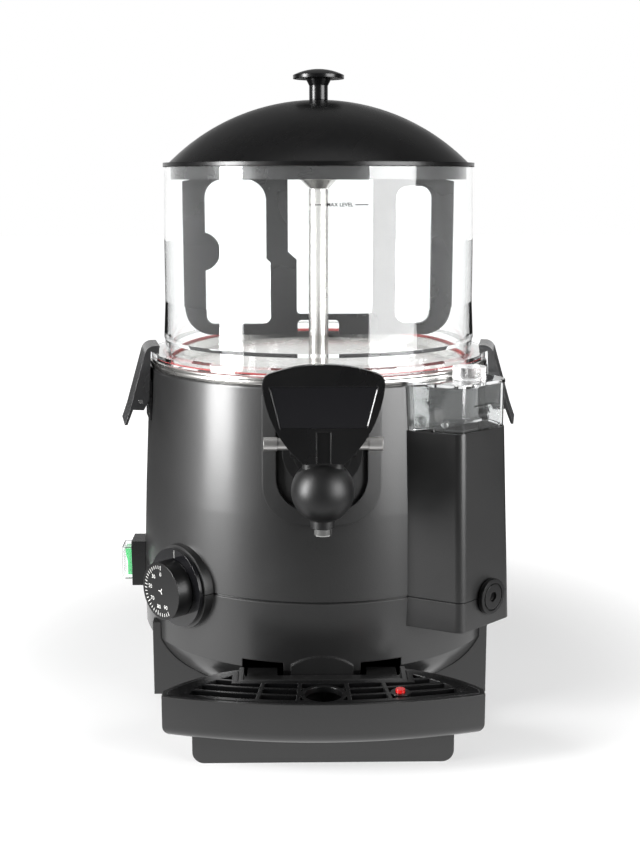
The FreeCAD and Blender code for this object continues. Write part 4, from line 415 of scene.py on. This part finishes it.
# %% [markdown]
# ## Dressing the parts
# The record names a material slot for every part, so the finishes can be handed out in
# one loop. Three parts look different from the rest of their slot. No mesh is changed.

# %% Dress every part
slot_of = {part["node"]: part["material_slot"] for part in frame["record"]["subparts"]}
own_look = {
    "tap_body": "matt_black", "tap_pin": "dull_steel", "tank_cap": "frosted_clear",
}
for name, solid in frame["nodes"].items():
    solid.data.materials.clear()
    solid.data.materials.append(finish[own_look.get(name, slot_of[name])])
print("dressed:", len(frame["nodes"]))

# %% [markdown]
# ## Placing small pieces
# Most details sit on the round drum or bowl. Each could be moved there by hand, but a
# place on a round wall is easier to give as a turn about the upright axis, a reach
# outwards and a height. In that place's own frame x runs across, y upwards and z
# outwards, so a mark is drawn flat and then laid on the surface.


# %% Helpers that place and finish a piece
def on_drum(turn, reach, height):
    """The frame of a place, from its turn in degrees, its reach and height in mm."""
    a = radians(turn)
    axes = Matrix(((cos(a), 0, sin(a)), (sin(a), 0, -cos(a)), (0, 1, 0))).to_4x4()
    spot = Matrix.Translation((
        sin(a) * reach / MM_PER_METRE, -cos(a) * reach / MM_PER_METRE,
        height / MM_PER_METRE,
    ))
    return spot @ axes


MERGE_DISTANCE = 1e-6


def settle(bm, name, body, look):
    """Merges an edited mesh, turns its faces outwards and lets it ride on a body."""
    bmesh.ops.remove_doubles(bm, verts=bm.verts, dist=MERGE_DISTANCE)
    bmesh.ops.recalc_face_normals(bm, faces=bm.faces)
    mesh = bpy.data.meshes.new(name)
    bm.to_mesh(mesh)
    bm.free()
    mesh.materials.append(finish[look])
    piece = bpy.data.objects.new(name, mesh)
    bpy.context.scene.collection.objects.link(piece)
    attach(piece, body)
    print(name, "has", len(mesh.polygons), "faces")
    return piece


# %% [markdown]
# ## Dial
# The dial's face carries a fan of white ticks from the top round the left side, with its
# numbers inside the fan and a small arrow in the middle. The marks could be painted in
# the material, but thin raised bars keep sharp edges in the mesh itself. They turn
# with the dial, so they ride on its body.


# %% Helpers that draw bars and letters
def slab(bm, place, across, up, out, turn=0.0):
    """A flat bar in a place's own frame: its spans in mm, turned by degrees about z."""
    size = Vector((across[1] - across[0], up[1] - up[0], out[1] - out[0]))
    middle = Vector((across[1] + across[0], up[1] + up[0], out[1] + out[0]))
    local = (
        Matrix.Rotation(radians(turn), 4, "Z")
        @ Matrix.Translation(middle / (2 * MM_PER_METRE))
    )
    stretch = Matrix.Diagonal((*(size / MM_PER_METRE), 1))
    bmesh.ops.create_cube(bm, size=1.0, matrix=place @ local @ stretch)


CAPITAL_SHARE = 0.7  # a capital's height as a share of the font's size
CURVE_STEPS = 3


def lettering(bm, place, words, tall, x, y, thick=0.06, round_reach=0.0, bold=0.0):
    """Letters of a height in mm, centred at x, y. They can follow a round wall."""
    font = bpy.data.curves.new(words, "FONT")
    font.body = words
    font.size = tall / MM_PER_METRE / CAPITAL_SHARE
    font.extrude = thick / (2 * MM_PER_METRE)
    font.align_x, font.align_y = "CENTER", "CENTER"
    font.resolution_u = CURVE_STEPS
    font.offset = tall * bold / MM_PER_METRE
    typed = bpy.data.objects.new(words, font)
    bpy.context.scene.collection.objects.link(typed)
    bpy.context.view_layer.update()
    flat = bpy.data.meshes.new_from_object(typed)
    bpy.data.objects.remove(typed)
    for corner in flat.vertices:
        corner.co += Vector((x, y, thick / 2)) / MM_PER_METRE
    start = len(bm.verts)
    bm.from_mesh(flat)
    bm.verts.ensure_lookup_table()
    for corner in bm.verts[start:]:
        if round_reach:
            angle = corner.co.x * MM_PER_METRE / round_reach
            reach = round_reach / MM_PER_METRE
            corner.co = Vector((
                sin(angle) * (reach + corner.co.z), corner.co.y,
                cos(angle) * (reach + corner.co.z) - reach,
            ))
        corner.co = place @ corner.co
    bpy.data.meshes.remove(flat)


# %% Dial marks
DIAL_TURN, DIAL_HEIGHT, DIAL_FACE = -47, 97.0, 156.0
TICKS, FAN_START, FAN_SWEEP = 26, 90, 210
LONG_EVERY, LONG_TICK, SHORT_TICK = 5, (15.4, 18.6), (16.2, 18.6)
TICK_WIDTH, PRINT_DEPTH = (-0.24, 0.24), (-0.02, 0.06)
NUMBER_HEIGHT, NUMBER_RING = 2.9, 12.3
NUMBER_ANGLES = {"0": 90, "30": 132, "50": 174, "70": 216, "80": 258, "90": 296}
ARROW_ARMS, ARROW_SPAN, ARROW_WIDTH = (60, 180, 300), (0.2, 2.4), (-0.35, 0.35)

face = on_drum(DIAL_TURN, DIAL_FACE, DIAL_HEIGHT)
bm = bmesh.new()
for step in range(TICKS):
    tick = SHORT_TICK if step % LONG_EVERY else LONG_TICK
    angle = FAN_START + FAN_SWEEP * step / (TICKS - 1)
    slab(bm, face, tick, TICK_WIDTH, PRINT_DEPTH, turn=angle)
for words, degrees in NUMBER_ANGLES.items():
    angle = radians(degrees)
    lettering(bm, face, words, NUMBER_HEIGHT, NUMBER_RING * cos(angle),
              NUMBER_RING * sin(angle))
for angle in ARROW_ARMS:
    slab(bm, face, ARROW_SPAN, ARROW_WIDTH, PRINT_DEPTH, turn=angle)
settle(bm, "dial_marks", "thermostat_dial", "white_print")

# %% [markdown]
# ### Index line
# The bezel is fixed, and one white line on it shows where the dial stands. It has to
# stay behind when the dial turns, so it is a piece of its own on the machine's body.

# %% Index line
BEZEL_FACE = 143.5
bm = bmesh.new()
slab(bm, on_drum(DIAL_TURN, BEZEL_FACE, DIAL_HEIGHT), across=(-0.15, 0.15),
     up=(21.8, 27.6), out=(-0.02, 0.08))
settle(bm, "bezel_line", "machine", "white_print")

# %% [markdown]
# ## Level marks on the bowl
# The bowl's full mark is a dash, two words and a dash, printed round its wall. Flat
# letters would cut into the curve or float off it, so each letter's corners are wrapped
# round the wall's radius. A dash is short enough to lie flat at its own turn.

# %% Level marks on the bowl
BOWL_RADIUS, FULL_HEIGHT, MARK_TURN = 115.75, 368.0, 0.6
DASH_RADIUS, DASHES = 115.85, ((-9.0, 0.6), (21.5, 30.5))

bm = bmesh.new()
wall = on_drum(MARK_TURN, BOWL_RADIUS, FULL_HEIGHT)
lettering(bm, wall, "MAX LEVEL", tall=2.5, x=11.0, y=0.0, thick=0.05,
          round_reach=BOWL_RADIUS, bold=0.035)
settle(bm, "bowl_level_words", "machine", "dark_print")

bm = bmesh.new()
for left, right in DASHES:
    middle = (left + right) / 2
    spot = on_drum(MARK_TURN + middle / BOWL_RADIUS * 180 / pi, DASH_RADIUS, FULL_HEIGHT)
    slab(bm, spot, across=(left - middle, right - middle), up=(-0.3, 0.3),
         out=(-0.12, 0.06))
settle(bm, "bowl_level_dashes", "machine", "dark_print")

# %% [markdown]
# ## Level marks on the tank
# The level tank's outer wall is flat, so its line and two words are laid on it as drawn.
# Smoky plastic swallows a thin print, so the ink is thicker here than on the bowl.

# %% Level marks on the tank
TANK_TURN, TANK_FACE, TANK_HEIGHT, TANK_INK = 43.5, 162.2, 215.0, 0.1
bm = bmesh.new()
outer_face = on_drum(TANK_TURN, TANK_FACE, TANK_HEIGHT)
slab(bm, outer_face, across=(-11.5, 13.5), up=(17.4, 18.1), out=(0.02, TANK_INK))
lettering(bm, outer_face, "MAX", tall=4.2, x=0.0, y=13.6, thick=TANK_INK, bold=0.03)
lettering(bm, outer_face, "MIN", tall=2.9, x=1.5, y=8.2, thick=TANK_INK, bold=0.03)
settle(bm, "tank_level_marks", "machine", "dark_print")

# %% [markdown]
# ## Rocker signs
# The rocker has a bar for on and a ring for off. The bar is one more slab, leaned back
# as the rocker's upper half is. The ring is a closed section spun full circle, which
# gives a clean seam that a flat letter O would not.


# %% A closed section, spun
def spun(bm, section, place, steps=64):
    """A full turn of a section of (radius, height) in mm about a place's y axis."""
    corners = [
        bm.verts.new(place @ Vector((radius / MM_PER_METRE, height / MM_PER_METRE, 0)))
        for radius, height in section
    ]
    edges = [bm.edges.new((corners[i - 1], corners[i])) for i in range(len(corners))]
    bmesh.ops.spin(
        bm, geom=corners + edges, cent=place.translation,
        axis=(place.to_3x3() @ Vector((0, 1, 0))), angle=2 * pi, steps=steps,
        use_merge=True,
    )


UPRIGHT = Matrix.Rotation(radians(90), 4, "X")  # turns a section's axis from y to z

# %% Rocker signs
ROCKER_TURN, ROCKER_HEIGHT, SIGN_OFFSET = -90, 92.5, 5.2
BAR_FACE, RING_FACE, BAR_LEAN = 149.6, 148.8, -9.4
RING_STEPS = 32
to_rocker = Matrix.Translation((0.012, 0, 0))  # the switch sits behind the drum's side

bm = bmesh.new()
upper = on_drum(ROCKER_TURN, BAR_FACE, ROCKER_HEIGHT + SIGN_OFFSET) @ to_rocker
lean = Matrix.Rotation(radians(BAR_LEAN), 4, "X")
slab(bm, upper @ lean, across=(-0.4, 0.4), up=(-1.8, 1.8), out=(0.0, 0.12))
lower = on_drum(ROCKER_TURN, RING_FACE, ROCKER_HEIGHT - SIGN_OFFSET) @ to_rocker
ring = [(1.3, -0.02), (1.9, -0.02), (1.9, 0.1), (1.3, 0.1)]
spun(bm, ring, lower @ UPRIGHT, RING_STEPS)
settle(bm, "rocker_signs", "power_rocker", "white_print")

# %% [markdown]
# ## Nozzle sleeve
# The nozzle under the tap ends in a bright steel sleeve. It is a thin tube with a turned
# foot, so its wall's section is spun round the tap's axis.

# %% Nozzle sleeve
TAP_REACH = 160.0
sleeve = [(5.52, 152.8), (5.9, 153.1), (6.0, 153.6), (6.0, 158.2), (5.52, 158.2)]
bm = bmesh.new()
spun(bm, sleeve, Matrix.Translation((0, -TAP_REACH / MM_PER_METRE, 0)) @ UPRIGHT)
settle(bm, "nozzle_sleeve", "machine", "bright_steel")

# %% [markdown]
# ## Lever trim
# The lever's panel has slanted side edges and a groove with raised edges below it, which
# catch the light as thin lines. A bump could fake them from the front only, so each is a
# low three-sided ridge: one face, extruded from its foot to its top.


# %% Lever trim
PANEL_FACE = 183.05


def ridge(bm, foot, top, half, rise):
    """A low ridge on the lever's face, from foot to top, both (x, z) in mm."""
    section = [
        bm.verts.new(Vector((foot[0] + x, -(PANEL_FACE + out), foot[1])) / MM_PER_METRE)
        for x, out in ((-half, 0.0), (0.0, rise), (half, 0.0))
    ]
    raised = bmesh.ops.extrude_face_region(bm, geom=[bm.faces.new(section)])
    along = Vector((top[0] - foot[0], 0, top[1] - foot[1])) / MM_PER_METRE
    for corner in raised["geom"]:
        if isinstance(corner, bmesh.types.BMVert):
            corner.co += along


bm = bmesh.new()
for side in (-1, 1):
    ridge(bm, (side * 28.3, 231.0), (side * 34.0, 254.0), half=0.7, rise=0.6)
    ridge(bm, (side * 5.1, 209.0), (side * 5.1, 226.2), half=0.55, rise=0.5)
settle(bm, "panel_edges", "tap_handle", "gloss_black")

# %% [markdown]
# ## Gasket
# The bowl's silicone gasket is soft. The solid shows it as it comes from its mould. Here
# it is drawn as it sits, pressed down into a low rounded bead under the bowl's flange.
# The new piece replaces the solid, so the two never show together.

# %% Gasket
GASKET_STEPS = 128
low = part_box("bowl_gasket")[0][2] * MM_PER_METRE
bead = [
    (112.0, low), (118.9, low), (119.1, low + 0.2), (119.1, low + 0.8),
    (118.9, low + 1.0), (113.9, low + 1.0), (113.6, low + 1.3), (113.2, low + 1.6),
    (112.6, low + 1.7), (112.1, low + 1.4), (111.9, low + 0.6),
]
bm = bmesh.new()
spun(bm, bead, UPRIGHT, GASKET_STEPS)
gasket = settle(bm, "pressed_gasket", "machine", "red_silicone")
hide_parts("bowl_gasket")

# %% [markdown]
# ## Camera
# The camera stands a metre away, a little above the machine's middle, and looks slightly
# down. A longer lens from further off would flatten the round forms.

# %% Camera
CAMERA_PLACE = (-0.01726, -0.98285, 0.3842)
CAMERA_TILT, CAMERA_TURN = 79.33, -1.07
FOCAL_LENGTH, SENSOR_WIDTH = 54.77, 36.0

lens = bpy.data.cameras.new("camera")
lens.lens, lens.sensor_width = FOCAL_LENGTH, SENSOR_WIDTH
camera = bpy.data.objects.new("camera", lens)
bpy.context.scene.collection.objects.link(camera)
camera.location = CAMERA_PLACE
camera.rotation_euler = (radians(CAMERA_TILT), 0, radians(CAMERA_TURN))
bpy.context.scene.camera = camera
bpy.context.scene.view_settings.view_transform = "Standard"
print("camera at", CAMERA_PLACE)

# %% [markdown]
# ## Floor
# The floor is seamless and white. Enough light to make a floor white would wash out a
# black machine, so the floor glows instead, for rays from the camera and rays through
# clear plastic. It glows less near the machine, where the shadow has to stay. In
# reflections it is mostly dark, with a glow close by that lights the machine's foot.

# %% Floor
FLOOR_WIDTH = 16
FLOOR_SHADE, FLOOR_REFLECTED = (0.5, 0.5, 0.5, 1.0), (0.15, 0.15, 0.15, 1.0)
SEEN_THROUGH = 1.25  # how bright the room is behind clear plastic

bpy.ops.mesh.primitive_plane_add(size=FLOOR_WIDTH)
floor = bpy.context.object
floor.name = "floor"
white, tree, shader = new_finish("white_floor")
shader.inputs["Roughness"].default_value = 0.9
shader.inputs["Specular IOR Level"].default_value = 0.0
shader.inputs["Emission Color"].default_value = (1.0, 1.0, 1.0, 1.0)
ray = add(tree, "LightPath", {})
shade = add(tree, "Mix", {
    "Factor": ray.outputs["Is Glossy Ray"], "A": FLOOR_SHADE, "B": FLOOR_REFLECTED,
}, data_type="RGBA")
tree.links.new(shade.outputs["Result"], shader.inputs["Base Color"])
floor.data.materials.append(white)

# %% The floor's glow
place = add(tree, "TexCoord", {})
far = add(tree, "VectorMath", {0: place.outputs["Object"]}, operation="LENGTH")
away = ramp(tree, far.outputs["Value"], 0.18, 0.5, 0.45, 1.0)
near = ramp(tree, far.outputs["Value"], 0.2, 0.6, 0.95, 0.0)
seen = reckon(
    tree, "MULTIPLY_ADD", ray.outputs["Is Transmission Ray"], SEEN_THROUGH,
    ray.outputs["Is Camera Ray"],
)
backdrop = reckon(tree, "MULTIPLY", seen, away)
glow = reckon(tree, "MULTIPLY_ADD", ray.outputs["Is Glossy Ray"], near, backdrop)
tree.links.new(glow, shader.inputs["Emission Strength"])
print("floor:", FLOOR_WIDTH, "m wide")

# %% [markdown]
# ## Lamps
# A dark round drum is drawn by its highlights. Two tall soft lamps, left and right, put
# one long highlight down each side, and a weak one above gives the lid its sheen. Small
# lamps would give hard spots instead.


# %% Lamps
def soft_lamp(name, turn, away, height, wide, tall, watts, aim_drop=0.0):
    """A rectangular lamp at a turn from the front, in degrees, facing the machine."""
    lamp = bpy.data.lights.new(name, "AREA")
    lamp.shape = "RECTANGLE"
    lamp.size, lamp.size_y, lamp.energy = wide, tall, watts
    stand = bpy.data.objects.new(name, lamp)
    bpy.context.scene.collection.objects.link(stand)
    stand.location = (sin(radians(turn)) * away, -cos(radians(turn)) * away, height)
    aim = Vector((0, 0, height - aim_drop)) - stand.location
    stand.rotation_euler = aim.to_track_quat("-Z", "Y").to_euler()
    print(name, watts, "W")


soft_lamp("left_lamp", turn=-65, away=1.5, height=0.60, wide=0.50, tall=1.20, watts=54)
soft_lamp("right_lamp", turn=53, away=1.5, height=0.60, wide=1.00, tall=1.20, watts=33)
soft_lamp("top_lamp", turn=10, away=0.35, height=1.7, wide=1.4, tall=0.9, watts=2,
          aim_drop=1.5)

# %% [markdown]
# ## The room's light
# The camera sees a white room. The machine is lit by a much dimmer one: pale low down
# behind it, which rims its edges, and faint overhead. One world does both, because Light
# Path tells which kind of ray is asking.

# %% The room's light
room = bpy.data.worlds.new("room")
bpy.context.scene.world = room
room.use_nodes = True
tree = room.node_tree
background = tree.nodes["Background"]
place = add(tree, "TexCoord", {})
direction = add(tree, "SeparateXYZ", {"Vector": place.outputs["Generated"]})
ray = add(tree, "LightPath", {})
behind = ramp(tree, direction.outputs["Y"], 0.40, 0.92, 0.0, 0.9)
low_down = ramp(tree, direction.outputs["Z"], 0.05, 0.40, 1.0, 0.15)
overhead = ramp(tree, direction.outputs["Z"], 0.3, 0.9, 0.05, 0.10)
unseen = reckon(tree, "MULTIPLY_ADD", behind, low_down, overhead)
seen = reckon(
    tree, "MULTIPLY_ADD", ray.outputs["Is Transmission Ray"], SEEN_THROUGH,
    ray.outputs["Is Camera Ray"],
)
brightness = reckon(tree, "MAXIMUM", unseen, seen)
tree.links.new(brightness, background.inputs["Strength"])
background.inputs["Color"].default_value = (1.0, 1.0, 1.0, 1.0)
print("room:", room.name)
